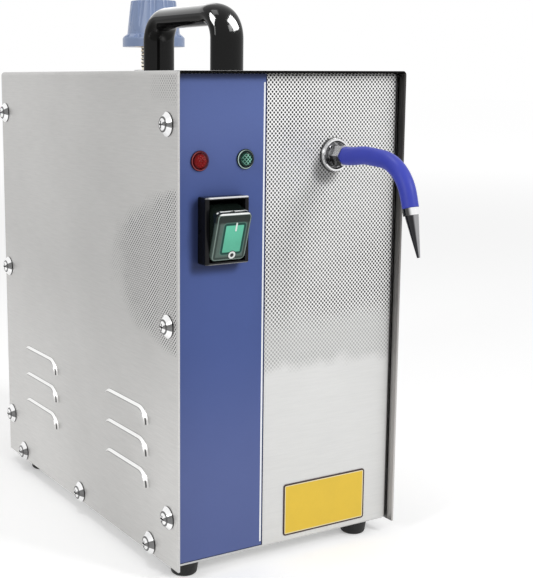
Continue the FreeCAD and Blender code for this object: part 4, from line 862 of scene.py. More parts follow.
@dataclass(frozen=True, kw_only=True)
class StripPaint(Finish):
    """Blue paint with a thin pale line near its right edge, dark edges that are partly joints and partly
    painted shade, a painted reflection near the top and painted shadows.

    Args:
        low: the strip's lowest corner, in metres.
        high: its highest corner.
        housing: the middle of the switch housing.
        half: half the housing's width and height.
        lower: what the colour is multiplied by at the middle heights.
        lower_foot: how much of that shows from the foot up.
        lower_top: how much of it shows further up.
        upper: what the colour is multiplied by near the top, as a painted reflection.
        upper_foot: how much of that shows, by height.
        line: the pale line's colour.
        line_in: how far the pale line's middle is from the right edge.
        line_half: half its width.
        shade_colour: the colour of the dark edges, of the painted shadow under the top lip and of the painted
            shadow by the housing.
        shade_aside: how far left of the housing's middle, and below it, the shade's middle is.
    """

    low: Triple
    high: Triple
    housing: Triple
    half: Pair
    lower: Colour = (0.65, 0.76, 0.91)
    lower_foot: Ramp = Ramp(0.055, 0.17)
    lower_top: Ramp = Ramp(0.25, 0.305, 1, 0)
    upper: Colour = (1.0, 1.07, 1.12)
    upper_foot: Ramp = Ramp(0.26, 0.31)
    line: Colour = (0.94, 0.95, 0.97)
    line_in: float = 1.75 * MM
    line_half: float = 0.62 * MM
    shade_colour: Colour = (0.014, 0.019, 0.055)
    shade_aside: float = 3.6 * MM

    def pale_line(self, graph: Graph) -> Socket:
        """The pale line's mask.

        Args:
            graph: the material's graph.

        Returns:
            A mask that is 1 on the line.
        """
        foot, top = self.low[2], self.high[2]
        return PLATE.use(
            graph,
            Centre=(self.high[0] - self.line_in, self.low[1], (foot + top) / 2 - 1.2 * MM),
            Half_Width=self.line_half,
            Half_Height=(top - foot) / 2 - 4.2 * MM,
            Soft=0.08 * MM,
        )["Mask"]

    def housing_shade(self, graph: Graph) -> Socket:
        """The shade that the switch housing drops on the paint.

        Args:
            graph: the material's graph.

        Returns:
            How dark it is, 0 to 1.
        """
        x, _, z = self.housing
        middle = (x - self.shade_aside, self.low[1], z - self.shade_aside)
        return graph.step(past_outline(graph, middle, self.half, 2 * MM), -2 * MM, 5.5 * MM, 0.74, 0)

    def shade(self, graph: Graph, shader: bpy.types.Node) -> None:
        """Wire the paint, its pale line, its dark edges, the painted reflection near the top and the painted
        shadows on it.

        Args:
            graph: the material's graph.
            shader: its shader.
        """
        x, _, z = graph.here()
        skin = SKIN.use(graph, Scale=700.0, Amount=0.05)
        cloud = MOTTLE.use(graph, Scale=9.0, Amount=0.08)
        colour = graph.tint(self.colour, graph.times(skin["Shade"], cloud["Shade"]))
        deep = graph.times(graph.step(z, *self.lower_top), graph.step(z, *self.lower_foot))
        colour = graph.mix(deep, colour, graph.vectors("MULTIPLY", colour, self.lower))
        # Painted reflection: cooler and lighter near the top.
        high = graph.step(z, *self.upper_foot)
        colour = graph.mix(high, colour, graph.vectors("MULTIPLY", colour, self.upper))
        colour = graph.mix(self.pale_line(graph), colour, self.line)
        edge, foot, top = self.high[0], self.low[2], self.high[2]
        # Dark edge lines, partly joints and partly painted shade; painted shadows under the top lip and by
        # the housing.
        dark = graph.most(
            graph.step(x, edge - 0.95 * MM, edge - 0.75 * MM, 0, 0.97),
            graph.step(z, foot + 0.4 * MM, foot + 0.9 * MM, 0.85, 0),
            graph.step(x, self.low[0] + 0.3 * MM, self.low[0] + 0.8 * MM, 0.5, 0),
            graph.step(z, top - 4.6 * MM, top - 0.5 * MM, 0, 0.85),
            self.housing_shade(graph),
        )
        colour = graph.mix(dark, colour, self.shade_colour)
        graph.feeds(
            shader,
            Base_Color=colour,
            Roughness=self.roughness(graph, cloud["Fac"], 0.05, 0.07),
            Normal=graph.bump(skin["Height"], 0.03 * MM, 0.4),
            Specular_IOR_Level=0.2,
        )


@dataclass(frozen=True, kw_only=True)
class LabelFilm(Finish):
    """A blank yellow plate with a dark printed border.

    Args:
        centre: the plate's middle, in metres.
        half: half its width and height.
        border: the border line's colour.
        pale: the colour of the pale line inside the border.
    """

    centre: Triple
    half: Pair
    border: Colour = (0.045, 0.022, 0.026)
    pale: Colour = (0.88, 0.84, 0.62)

    def shade(self, graph: Graph, shader: bpy.types.Node) -> None:
        """Wire the film and its two border lines.

        Args:
            graph: the material's graph.
            shader: its shader.
        """
        edge = past_outline(graph, self.centre, self.half, 2 * MM)
        skin = SKIN.use(graph, Scale=1100.0, Amount=0.05)
        cloud = MOTTLE.use(graph, Scale=30.0, Amount=0.08)
        colour = graph.tint(self.colour, graph.times(skin["Shade"], cloud["Shade"]))
        pale = graph.step(edge, -1.75 * MM, -1.6 * MM)
        colour = graph.mix(graph.times(pale, 0.75), colour, self.pale)
        colour = graph.mix(graph.step(edge, -1.15 * MM, -1.0 * MM), colour, self.border)
        graph.feeds(
            shader,
            Base_Color=colour,
            Roughness=self.roughness(graph, cloud["Fac"], 0.06, 0.08),
            Normal=graph.bump(skin["Height"], 0.02 * MM, 0.4),
            Specular_IOR_Level=0.3,
        )


@dataclass(frozen=True)
class Moulding(Finish):
    """Moulded plastic or rubber with a faint skin.

    Args:
        cell: skin cells per metre.
        relief: how deep the skin is, in metres.
        tone: how much the skin changes the tone.
        coat: a clear gloss over it, 0 to 1.
        gloss: the specular level.
    """

    cell: float = 900.0
    relief: float = 0.03 * MM
    tone: float = 0.08
    coat: float = 0.0
    gloss: float = 0.5

    def shade(self, graph: Graph, shader: bpy.types.Node) -> None:
        """Wire the skin and its drift of tone, with a coat where there is one.

        Args:
            graph: the material's graph.
            shader: its shader.
        """
        skin = SKIN.use(graph, Scale=self.cell, Amount=self.tone)
        cloud = MOTTLE.use(graph, Scale=35.0, Amount=self.tone)
        shade = graph.times(skin["Shade"], cloud["Shade"])
        graph.feeds(
            shader,
            Base_Color=graph.tint(self.colour, shade),
            Roughness=self.roughness(graph, cloud["Fac"], 0.04, 0.06, least=0.02),
            Normal=graph.bump(skin["Height"], self.relief, 0.5),
            Specular_IOR_Level=self.gloss,
        )
        if self.coat:
            graph.feeds(shader, Coat_Weight=self.coat, Coat_Roughness=0.03)


@dataclass(frozen=True)
class Metal(Finish):
    """Turned, drawn or plated metal with fine marks and slight tarnish, and where set, painted dark
    reflections and a painted contact shadow.

    Args:
        tarnish: the colour of the tarnish.
        spread: how much tarnish shows, 0 to 1.
        marks: how strongly fine marks change the roughness.
        dark_reflection_way: the way that the faces look which get the darkest painted reflection.
        dark_reflection: how dark that painted reflection makes those faces, 0 to 1.
        turn: how squarely a face looks that way when the painted reflection starts, and when it is full, 0 to
            1.
        sheet: how far the sheet that it stands on is from the middle, where a contact shadow is painted, or 0
            for none.
        seam: how far over that sheet the dark joint round a screw's head is, or 0 for none.
        reflection_streak: how dark the painted reflection is that a turned face has towards the front, 0 to
            1.
        reflection_streak_way: how much up, and how much forward, the faces look that get that painted
            reflection.
        reflection_streak_colour: the colour of that painted reflection.
        contact_shadow_colour: the colour of the painted contact shadow where it meets the sheet.
        seam_colour: the colour of the joint round a screw's head.
    """

    tarnish: Colour = (0.3, 0.3, 0.3)
    spread: float = 0.2
    marks: float = 0.06
    dark_reflection_way: Triple = (0, 0, -1)
    dark_reflection: float = 0.0
    turn: Pair = (0.10, 0.55)
    sheet: float = 0.0
    seam: float = 0.0
    reflection_streak: float = 0.0
    reflection_streak_way: Pair = (0.15, 0.99)
    reflection_streak_colour: Colour = (0.05, 0.05, 0.05)
    contact_shadow_colour: Colour = (0.01, 0.01, 0.01)
    seam_colour: Colour = (0.03, 0.03, 0.03)

    def paint_reflection_streak(self, graph: Graph, colour: Socket) -> Socket:
        """Paint a dark reflection on the faces of a turned piece that look forward.

        Args:
            graph: the material's graph.
            colour: the metal's colour so far.

        Returns:
            The colour with the painted reflection.
        """
        _, ahead, up = graph.axes(graph.add("TexCoord").outputs["Normal"])
        sideways = graph.slant(ahead, up)
        turned = graph.less(graph.times(up, self.reflection_streak_way[0]), graph.times(ahead, self.reflection_streak_way[1]))
        share = graph.maths("DIVIDE", turned, graph.most(sideways, 0.1))
        reflection_streak = graph.times(graph.step(share, 0.90, 0.94), graph.step(sideways, 0.25, 0.5), self.reflection_streak)
        return graph.mix(reflection_streak, colour, self.reflection_streak_colour)

    def shadow_and_joint(self, graph: Graph, colour: Socket) -> Socket:
        """Paint a contact shadow where it meets the sheet, and darken the joint round a screw's head.

        Args:
            graph: the material's graph.
            colour: the metal's colour so far.

        Returns:
            The colour with the painted contact shadow and the joint.
        """
        x, _, _ = graph.here()
        off = graph.less(graph.size(x), self.sheet)
        # Painted contact shadow where the piece meets the sheet.
        colour = graph.mix(graph.step(off, 0.35 * MM, 0.75 * MM, 0.95, 0), colour, self.contact_shadow_colour)
        if self.seam:
            joint = graph.band(off, self.seam, 0.10 * MM, 0.32 * MM, 0.88)
            colour = graph.mix(joint, colour, self.seam_colour)
        return colour

    def shade(self, graph: Graph, shader: bpy.types.Node) -> None:
        """Wire the marks and the tarnish, and the painted dark reflections, the painted contact shadow and
        the joints where there are any.

        Args:
            graph: the material's graph.
            shader: its shader.
        """
        skin = SKIN.use(graph, Scale=2200.0, Amount=0.10)
        cloud = MOTTLE.use(graph, Scale=60.0, Amount=0.05)
        dull = graph.step(cloud["Fac"], 0.45, 0.75, 0, self.spread)
        colour = graph.mix(dull, graph.tint(self.colour, skin["Shade"]), self.tarnish)
        # Painted dark reflection on the faces that look the set way.
        if self.dark_reflection:
            normal = graph.add("TexCoord").outputs["Normal"]
            facing = graph.vectors("DOT_PRODUCT", normal, self.dark_reflection_way)
            colour = graph.mix(graph.step(facing, *self.turn, 0, self.dark_reflection), colour, PAINTED_DARK)
        # Painted dark reflection in a band on turned faces that look forward.
        if self.reflection_streak:
            colour = self.paint_reflection_streak(graph, colour)
        if self.sheet:
            colour = self.shadow_and_joint(graph, colour)
        graph.feeds(
            shader,
            Base_Color=colour,
            Roughness=self.roughness(graph, skin["Height"], self.marks, self.marks, least=0.03),
            Normal=graph.bump(skin["Height"], 0.01 * MM, 0.4),
            Metallic=1,
        )


@dataclass(frozen=True, kw_only=True)
class GlintedMoulding(Moulding):
    """Moulded plastic with painted glints along its long edges.

    Args:
        low: the piece's lowest corner, in metres.
        high: its highest corner.
        wear_and_glint: the colour of a painted glint on an edge.
    """

    low: Triple
    high: Triple
    wear_and_glint: Colour = (0.75, 0.75, 0.76)

    def shade(self, graph: Graph, shader: bpy.types.Node) -> None:
        """Wire the plain moulding, then paint glints on its edges.

        Args:
            graph: the material's graph.
            shader: its shader.
        """
        super().shade(graph, shader)
        body = shader.inputs["Base Color"].links[0].from_socket
        x, y, z = graph.here()
        left, front, foot = self.low
        _, back, top = self.high
        # Painted glints along the top, bottom and back edges.
        upper = graph.step(z, top - 1.15 * MM, top - 0.8 * MM)
        lower = graph.step(z, foot + 0.5 * MM, foot + 0.8 * MM, 0.3, 0)
        forward = graph.step(y, front + 0.9 * MM, front + 1.2 * MM, 1, 0)
        ends = graph.step(x, left + 1.5 * MM, left + 4 * MM, 0.25, 1)
        front_edges = graph.times(graph.most(upper, lower), forward, ends)
        broken = graph.step(graph.noise(graph.place(), 300, 2, 0.6), 0.45, 0.55, 0, 0.8)
        back_edge = graph.times(graph.step(y, back - 2.2 * MM, back - 1.4 * MM), upper, broken, ends)
        edges = graph.most(front_edges, back_edge)
        graph.feeds(shader, Base_Color=graph.mix(edges, body, self.wear_and_glint))


@dataclass(frozen=True, kw_only=True)
class DishPlating(Metal):
    """Bright plating on a dished ring, with painted shade in its dish and groove, on its rim and round its
    foot.

    Args:
        centre: the ring's middle, in metres.
        base: where the sheet behind it is along Y.
        groove: the radius of the dish's groove, where shade is painted.
        dish: how dark the painted shade in the dish is, from its middle out.
        brim: how dark the painted shade on the ring's rim is, from inside out.
    """

    centre: Triple
    base: float
    groove: float = 9.0 * MM
    dish: Ramp = Ramp(8.2 * MM, 8.8 * MM, 0.45, 0)
    brim: Ramp = Ramp(11.1 * MM, 11.4 * MM, 0, 0.85)

    def shade(self, graph: Graph, shader: bpy.types.Node) -> None:
        """Wire the plain metal, then the painted shade on it.

        Args:
            graph: the material's graph.
            shader: its shader.
        """
        super().shade(graph, shader)
        colour = shader.inputs["Base Color"].links[0].from_socket
        _, y, _ = graph.here()
        x, _, z = graph.axes(graph.vectors("SUBTRACT", graph.place(), self.centre))
        radius = graph.slant(x, z)
        # Painted shade in the groove, in the dish, round the foot and on the rim.
        painted_shade = graph.most(
            graph.band(radius, self.groove, 0.35 * MM, 0.7 * MM, 0.92),
            graph.step(radius, *self.dish),
            graph.step(y, self.base - 1.0 * MM, self.base - 0.85 * MM, 0, 0.95),
            graph.step(radius, *self.brim),
        )
        graph.feeds(shader, Base_Color=graph.mix(painted_shade, colour, PAINTED_DARK))


@dataclass(frozen=True)
class Felt(Finish):
    """Needled glass felt wrapped round the boiler.

    Args:
        fibres: fibres per metre along X, Y and Z.
    """

    fibres: Triple = (900, 900, 260)

    def shade(self, graph: Graph, shader: bpy.types.Node) -> None:
        """Wire the fibres and their sheen.

        Args:
            graph: the material's graph.
            shader: its shader.
        """
        fibres = graph.noise(graph.vectors("MULTIPLY", graph.place(), self.fibres), 1, 4, 0.7)
        cloud = MOTTLE.use(graph, Scale=40.0, Amount=0.18)
        shade = graph.times(graph.step(fibres, 0.3, 0.7, 0.78, 1.08), cloud["Shade"])
        graph.feeds(
            shader,
            Base_Color=graph.tint(self.colour, shade),
            Normal=graph.bump(fibres, 0.6 * MM, 0.7),
            Sheen_Weight=0.35,
        )


class Facets(Enum):
    """How a lamp's lens is moulded."""

    PEBBLES = "pebbles"
    DIAMONDS = "diamonds"


@dataclass(frozen=True, kw_only=True)
class LensPlastic(Finish):
    """A tinted pilot-lamp lens with a painted highlight round its rim, and painted glints on the facets in
    its middle.

    Args:
        centre: the lens's middle, in metres.
        rim: the colour of the painted highlight line round the rim.
        facet_glint: the colour of the painted glints on the facets.
        cells: facet cells per metre across the middle.
        moulding: how it is moulded. Painted glints follow crossed lines on diamonds and loose points on
            pebbles.
        heart_aside: how far left of the middle the painted glints and the ring of painted shade round them
            are centred.
        rim_radius: the radius of the painted highlight line.
    """

    centre: Triple
    rim: Colour
    facet_glint: Colour = (0.34, 0.78, 0.60)
    cells: float = 400.0
    moulding: Facets = Facets.DIAMONDS
    heart_aside: float = 0.9 * MM
    rim_radius: float = 5.85 * MM

    def facets(self, graph: Graph, x: Socket, z: Socket) -> Socket:
        """Where painted glints sit on the lens's facets.

        Args:
            graph: the material's graph.
            x: how far right of the middle a point is.
            z: how far above it.

        Returns:
            How bright the painted glint is, 0 to 1.
        """
        lines = []
        for sign in ("ADD", "SUBTRACT"):
            turned = graph.times(graph.maths(sign, x, z), self.cells)
            lines.append(graph.maths("PINGPONG", turned, 0.5))
        if self.moulding is Facets.DIAMONDS:
            return graph.step(graph.maths("MINIMUM", *lines), 0.06, 0.15, 1, 0)
        return graph.step(graph.most(*lines), 0.22, 0.02)

    def shade(self, graph: Graph, shader: bpy.types.Node) -> None:
        """Wire the tint, a ring of painted shade, painted glints on the facets in the middle, lighter on the
        right, and the painted highlight round the rim, lighter at the upper left.

        Args:
            graph: the material's graph.
            shader: its shader.
        """
        x, _, z = graph.axes(graph.vectors("SUBTRACT", graph.place(), self.centre))
        skin = SKIN.use(graph, Scale=900.0, Amount=0.5)
        heart = graph.slant(graph.plus(x, self.heart_aside), z)
        # Painted glints, lighter on the right, inside a ring of painted shade.
        lit_from_right = graph.step(x, -3 * MM, 1 * MM, 0.4, 1)
        core = graph.times(graph.step(heart, 3.1 * MM, 4.0 * MM, 1, 0), lit_from_right)
        ring_shade = graph.step(heart, 3.6 * MM, 4.8 * MM, 1, 0.3)
        colour = graph.tint(self.colour, graph.times(skin["Shade"], ring_shade))
        most = 0.85 if self.moulding is Facets.DIAMONDS else 0.6
        glint = graph.times(self.facets(graph, x, z), core, skin["Shade"], most)
        colour = graph.mix(glint, colour, self.facet_glint)
        # Painted highlight line round the rim, lighter at the upper left.
        line = graph.band(graph.slant(x, z), self.rim_radius, 0.15 * MM, 0.35 * MM)
        upper_left = graph.less(graph.times(x, -0.8), graph.times(z, 0.5))
        lit = graph.step(upper_left, -4 * MM, 2 * MM, 0.25, 1)
        colour = graph.mix(graph.times(line, lit), colour, self.rim)
        graph.feeds(
            shader,
            Base_Color=colour,
            Emission_Color=colour,
            Emission_Strength=0.04,
            Roughness=self.roughness(graph, skin["Height"], 0.03, 0.05),
            Specular_IOR_Level=0.13,
        )


@dataclass(frozen=True, kw_only=True)
class BootSkin(Finish):
    """The soft boot over the rocker, with the bright window that shows through its face, painted shade, and
    painted highlights on its bead and upper edge.

    Args:
        centre: the middle of the boot's face, in metres.
        up: the direction up the face.
        out: the direction out of the face.
        half: half the face's width and height.
        window: the middle of the window in the boot's face.
        pane: half the window's width and height.
        bead_highlight: the colour of the painted highlight on the bead round the face.
        bright: the window's colour.
        sides: the colour of the boot's sides.
        surround: the colour of the moulding round the window.
        sill: the colour of the pale line in that moulding.
        gully_shade: the colour of the painted shade in the fold inside the bead.
        shine: the colour of the painted highlight on the upper edge.
    """

    centre: Triple
    up: Triple
    out: Triple
    half: Pair
    window: Triple
    pane: Pair = (6.6 * MM, 9.2 * MM)
    bead_highlight: Colour = (0.22, 0.29, 0.26)
    bright: Colour = (0.115, 0.49, 0.33)
    sides: Colour = (0.007, 0.011, 0.009)
    surround: Colour = (0.008, 0.060, 0.046)
    sill: Colour = (0.10, 0.22, 0.18)
    gully_shade: Colour = (0.018, 0.032, 0.027)
    shine: Colour = (0.88, 0.90, 0.89)

    def face(self, graph: Graph, skin: Socket, rise: Socket, edge: Socket, pane: Socket) -> Socket:
        """The boot's face, with painted shade near its rounded edges and above its window, and the moulding
        round its window.

        Args:
            graph: the material's graph.
            skin: the skin's shade.
            rise: how far up the face a point is.
            edge: how far past the face's outline it is.
            pane: how far past the window's outline it is.

        Returns:
            The face's colour.
        """
        # Painted shade near the face's rounded edges and above the window.
        rounded = graph.step(edge, -4.2 * MM, -1.4 * MM, 1, 0.55)
        shade_above_window = graph.step(rise, self.pane[1] - 0.4 * MM, self.pane[1] + 1.6 * MM, 1, 0.2)
        colour = graph.tint(self.colour, graph.times(skin, rounded))
        colour = graph.tint(colour, shade_above_window)
        framed = graph.step(pane, 1.5 * MM, 2.0 * MM, 1, 0)
        colour = graph.mix(framed, colour, graph.tint(self.surround, skin))
        return graph.mix(graph.band(pane, 1.75 * MM, 0.2 * MM, 0.45 * MM, 0.55), colour, self.sill)

    def shade(self, graph: Graph, shader: bpy.types.Node) -> None:
        """Wire the face and the sides, with the painted highlight on the bead, the painted shade in the fold
        and the painted highlight on the upper edge between them.

        Args:
            graph: the material's graph.
            shader: its shader.
        """
        edge = past_outline(graph, self.centre, self.half, 3.2 * MM, self.up)
        pane = past_outline(graph, self.window, self.pane, 0.6 * MM, self.up)
        inside = graph.step(pane, -0.15 * MM, 0.1 * MM, 1, 0)
        skin = SKIN.use(graph, Scale=420.0, Amount=0.25)
        cloud = MOTTLE.use(graph, Scale=90.0, Amount=0.14)
        away = graph.vectors("SUBTRACT", graph.place(), self.centre)
        depth = graph.vectors("DOT_PRODUCT", away, self.out)
        rise = graph.vectors("DOT_PRODUCT", away, self.up)
        glow = graph.step(rise, -self.pane[1], self.pane[1], 0.86, 1.1)
        lit = graph.tint(self.bright, graph.times(cloud["Shade"], glow))
        face = graph.mix(inside, self.face(graph, skin["Shade"], rise, edge, pane), lit)
        side = graph.tint(self.sides, skin["Shade"])
        colour = graph.mix(graph.step(depth, -2.6 * MM, -1.8 * MM), side, face)
        # Painted highlight on the bead, painted shade in the fold inside it, and painted glints along the
        # upper edge.
        ridge = graph.step(depth, -0.9 * MM, -0.4 * MM)
        bead_highlight = graph.times(graph.band(edge, -1.15 * MM, 0.2 * MM, 0.42 * MM, 0.9), ridge)
        colour = graph.mix(bead_highlight, colour, self.bead_highlight)
        gully_shade = graph.times(graph.band(edge, -2.4 * MM, 0.3 * MM, 0.7 * MM, 0.7), ridge)
        colour = graph.mix(gully_shade, colour, self.gully_shade)
        brow = graph.step(rise, self.half[1] - 1.5 * MM, self.half[1] - 0.9 * MM)
        fold = graph.band(depth, -3.3 * MM, 0.55 * MM, 0.9 * MM)
        broken = graph.times(fold, graph.step(graph.noise(graph.place(), 260, 2, 0.6), 0.40, 0.48))
        colour = graph.mix(graph.times(brow, graph.most(ridge, broken)), colour, self.shine)
        graph.feeds(
            shader,
            Base_Color=colour,
            Emission_Color=graph.mix(inside, BLACK, self.bright),
            Emission_Strength=0.10,
            Roughness=self.roughness(graph, skin["Height"], 0.03, 0.06),
            Normal=graph.bump(skin["Height"], 0.05 * MM, 0.5),
            Specular_IOR_Level=0.2,
        )


@dataclass(frozen=True, kw_only=True)
class RockerFace(Finish):
    """Dark green moulding with a bright window in its face.

    Args:
        centre: the window's middle, in metres.
        up: the direction up the face.
        half: half the window's width and height.
        window: the window's colour.
        sill: the colour of the pale line round the window.
    """

    centre: Triple
    up: Triple
    half: Pair = (6.8 * MM, 8.9 * MM)
    window: Colour = (0.125, 0.50, 0.345)
    sill: Colour = (0.16, 0.33, 0.25)

    def shade(self, graph: Graph, shader: bpy.types.Node) -> None:
        """Wire the moulding, its window and the line round that.

        Args:
            graph: the material's graph.
            shader: its shader.
        """
        pane = past_outline(graph, self.centre, self.half, 0.8 * MM, self.up)
        skin = SKIN.use(graph, Scale=800.0, Amount=0.15)
        cloud = MOTTLE.use(graph, Scale=90.0, Amount=0.16)
        body = graph.tint(self.colour, skin["Shade"])
        body = graph.mix(graph.band(pane, 1.75 * MM, 0.25 * MM, 0.5 * MM, 0.8), body, self.sill)
        inside = graph.step(pane, -0.1 * MM, 0.1 * MM, 1, 0)
        colour = graph.mix(inside, body, graph.tint(self.window, cloud["Shade"]))
        graph.feeds(
            shader,
            Base_Color=colour,
            Emission_Color=graph.mix(inside, BLACK, self.window),
            Emission_Strength=0.12,
            Roughness=self.roughness(graph, skin["Height"], 0.05, 0.05),
            Specular_IOR_Level=0.15,
        )


# The finishes that several sub-assemblies share.
INNER_STEEL = Sheet("dull_stainless", (0.50, 0.50, 0.49), 0.32, (500, 60, 500), 0.12, 0.08)
SCREW_CHROME = Metal("plated_fasteners", (0.66, 0.66, 0.66), 0.16, (0.22, 0.22, 0.23), 0.4, 0.08)
BRASS = Metal("turned_brass", (0.70, 0.47, 0.19), 0.28, (0.34, 0.19, 0.07), 0.45, 0.1)
SPRING_STEEL = Metal("spring_wire", (0.42, 0.42, 0.43), 0.25, (0.16, 0.14, 0.12), 0.3)
BLACK_MOULDING = Moulding("dark_moulding", (0.015, 0.015, 0.016), 0.35, tone=0.2, gloss=0.4)


def numbers(vector: Vector) -> Triple:
    """A vector as three plain numbers."""
    return (vector.x, vector.y, vector.z)


# ---- meshes ----


@dataclass
class Workshop:
    """Makes pieces from meshes, and dresses the frame's nodes.

    Args:
        nodes: the frame's objects by node name.
        dressed: the nodes that have their finish.
        crease: the angle between faces, in degrees, above which an edge stays sharp.
    """

    nodes: dict[str, bpy.types.Object]
    dressed: set[str] = field(default_factory=set)
    crease: float = 35.0

    def dress(self, finish: Finish, *names: str) -> None:
        """Give nodes a finish.

        Args:
            finish: the finish.
            names: the nodes.
        """
        for name in names:
            node = self.nodes[name]
            if not node.material_slots:
                node.data.materials.append(None)
            for slot in node.material_slots:
                slot.material = finish.make()
            self.dressed.add(name)
            log.info("dressed %s in %s", name, finish.name)

    def piece(
        self,
        name: str,
        shape: bmesh.types.BMesh,
        finish: Finish,
        body: str,
        slot: str,
        stands_for: Sequence[str] = (),
    ) -> bpy.types.Object:
        """Turn a mesh into a piece that rides on a body.

        Args:
            name: the piece's name.
            shape: its mesh, in the row frame, in metres. It is freed.
            finish: its finish.
            body: the body that it rides on.
            slot: the record's material slot; not used.
            stands_for: the nodes that it replaces.

        Returns:
            The new object.
        """
        bmesh.ops.recalc_face_normals(shape, faces=shape.faces)
        mesh = bpy.data.meshes.new(name)
        shape.to_mesh(mesh)
        shape.free()
        mesh.materials.append(finish.make())
        mesh.shade_smooth()
        mesh.set_sharp_from_angle(angle=math.radians(self.crease))
        made = bpy.data.objects.new(name, mesh)
        bpy.context.scene.collection.objects.link(made)
        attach(made, body)
        if stands_for:
            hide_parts(*stands_for)
            self.dressed.update(stands_for)
        log.info("made %s with %d faces on %s", name, len(mesh.polygons), body)
        return made


def ring_points(centre: Vector, across: Vector, up: Vector, radius: float, count: int) -> list[Vector]:
    """Points round a circle.

    Args:
        centre: the circle's middle.
        across: one unit direction in its plane.
        up: the other.
        radius: its radius.
        count: how many points.

    Returns:
        The points in order.
    """
    turns = [2 * math.pi * n / count for n in range(count)]
    return [centre + (across * math.cos(turn) + up * math.sin(turn)) * radius for turn in turns]


def loft(rings: Sequence[Sequence[Vector]], closed: bool = True) -> bmesh.types.BMesh:
    """A mesh skinned over rings of points.

    Args:
        rings: rings of the same count, in order.
        closed: whether the last ring joins the first, as for a tube with a hole. If not, both
            ends get a face.

    Returns:
        The mesh.
    """
    shape = bmesh.new()
    rows = [[shape.verts.new(point) for point in ring] for ring in rings]
    count = len(rows[0])
    pairs = list(zip(rows, rows[1:]))
    if closed:
        pairs.append((rows[-1], rows[0]))
    for first, second in pairs:
        for n in range(count):
            m = (n + 1) % count
            shape.faces.new((first[n], first[m], second[m], second[n]))
    if not closed:
        shape.faces.new(list(reversed(rows[0])))
        shape.faces.new(rows[-1])
    return shape


def rounded_box(
    centre: Vector, across: Vector, up: Vector, half: Pair, corner: float, steps: int = 4
) -> list[Vector]:
    """Points round a rectangle with round corners.

    Args:
        centre: its middle.
        across: the unit direction of its width.
        up: the unit direction of its height.
        half: half its width and height.
        corner: the corners' radius.
        steps: points on each corner.

    Returns:
        The points in order.
    """
    points = []
    for start, (x, y) in enumerate(((1, 1), (-1, 1), (-1, -1), (1, -1))):
        for n in range(steps):
            turn = math.pi / 2 * (start + n / (steps - 1))
            wide = x * (half[0] - corner) + corner * math.cos(turn)
            high = y * (half[1] - corner) + corner * math.sin(turn)
            points.append(centre + across * wide + up * high)
    return points


def extruded(outline: Sequence[Vector], hole: Sequence[Vector], depth: Vector) -> bmesh.types.BMesh:
    """A flat outline pushed along a direction.

    Args:
        outline: its points in order.
        hole: an inner outline of the same count, or nothing.
        depth: how far and which way it goes.

    Returns:
        The mesh.
    """
    if not hole:
        return loft([outline, [point + depth for point in outline]], closed=False)
    far = [[point + depth for point in ring] for ring in (hole, outline)]
    return loft([outline, hole, *far])


# ---- sub-assemblies ----


@dataclass
class Assembly:
    """A sub-assembly of the machine.

    Args:
        shop: makes its pieces and dresses its nodes.
    """

    shop: Workshop

    def dress(self) -> None:
        """Give it its finishes."""
        raise NotImplementedError


@dataclass(frozen=True)
class CoilSpring:
    """A compression spring, fixed at its top, made as a coil on the body that holds that top.

    Args:
        node: the solid that it replaces.
        body: the body that holds its top.
        joint: the joint that shortens it; not used.
        wire: its wire's diameter.
        turns: how many turns it has.
        travel: how far the joint lifts its foot; not used.
        slack: how far its foot then stands off what lifts it; not used.
        facets: points round the wire.
        steps: rings of points to a turn.
    """

    node: str
    body: str
    joint: str
    wire: float
    turns: float
    travel: float
    slack: float = 0.04 * MM
    facets: int = 12
    steps: int = 36

    def rings(self, low: Vector, high: Vector) -> Iterator[list[Vector]]:
        """The wire's outline along its helix.

        Args:
            low: the lowest corner of the spring's box.
            high: the highest.

        Yields:
            The points round the wire, from the foot up.
        """
        middle = (low + high) / 2
        radius = (high.x - low.x - self.wire) / 2
        rise = high.z - low.z - self.wire
        count = round(self.turns * self.steps)
        for n in range(count + 1):
            turn = 2 * math.pi * n / self.steps
            out = Vector((math.cos(turn), math.sin(turn), 0))
            height = low.z + self.wire / 2 + rise * n / count
            centre = Vector((middle.x, middle.y, height)) + out * radius
            yield ring_points(centre, out, Vector((0, 0, 1)), self.wire / 2, self.facets)

    def build(self, shop: Workshop) -> None:
        """Make the spring's coil, with a mesh of its own.

        Args:
            shop: what makes its piece.
        """
        low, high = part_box(self.node)
        shape = loft(list(self.rings(low, high)), closed=False)
        made = shop.piece(f"{self.node}_coil", shape, SPRING_STEEL, self.body, "fastener", [self.node])
        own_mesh(made)


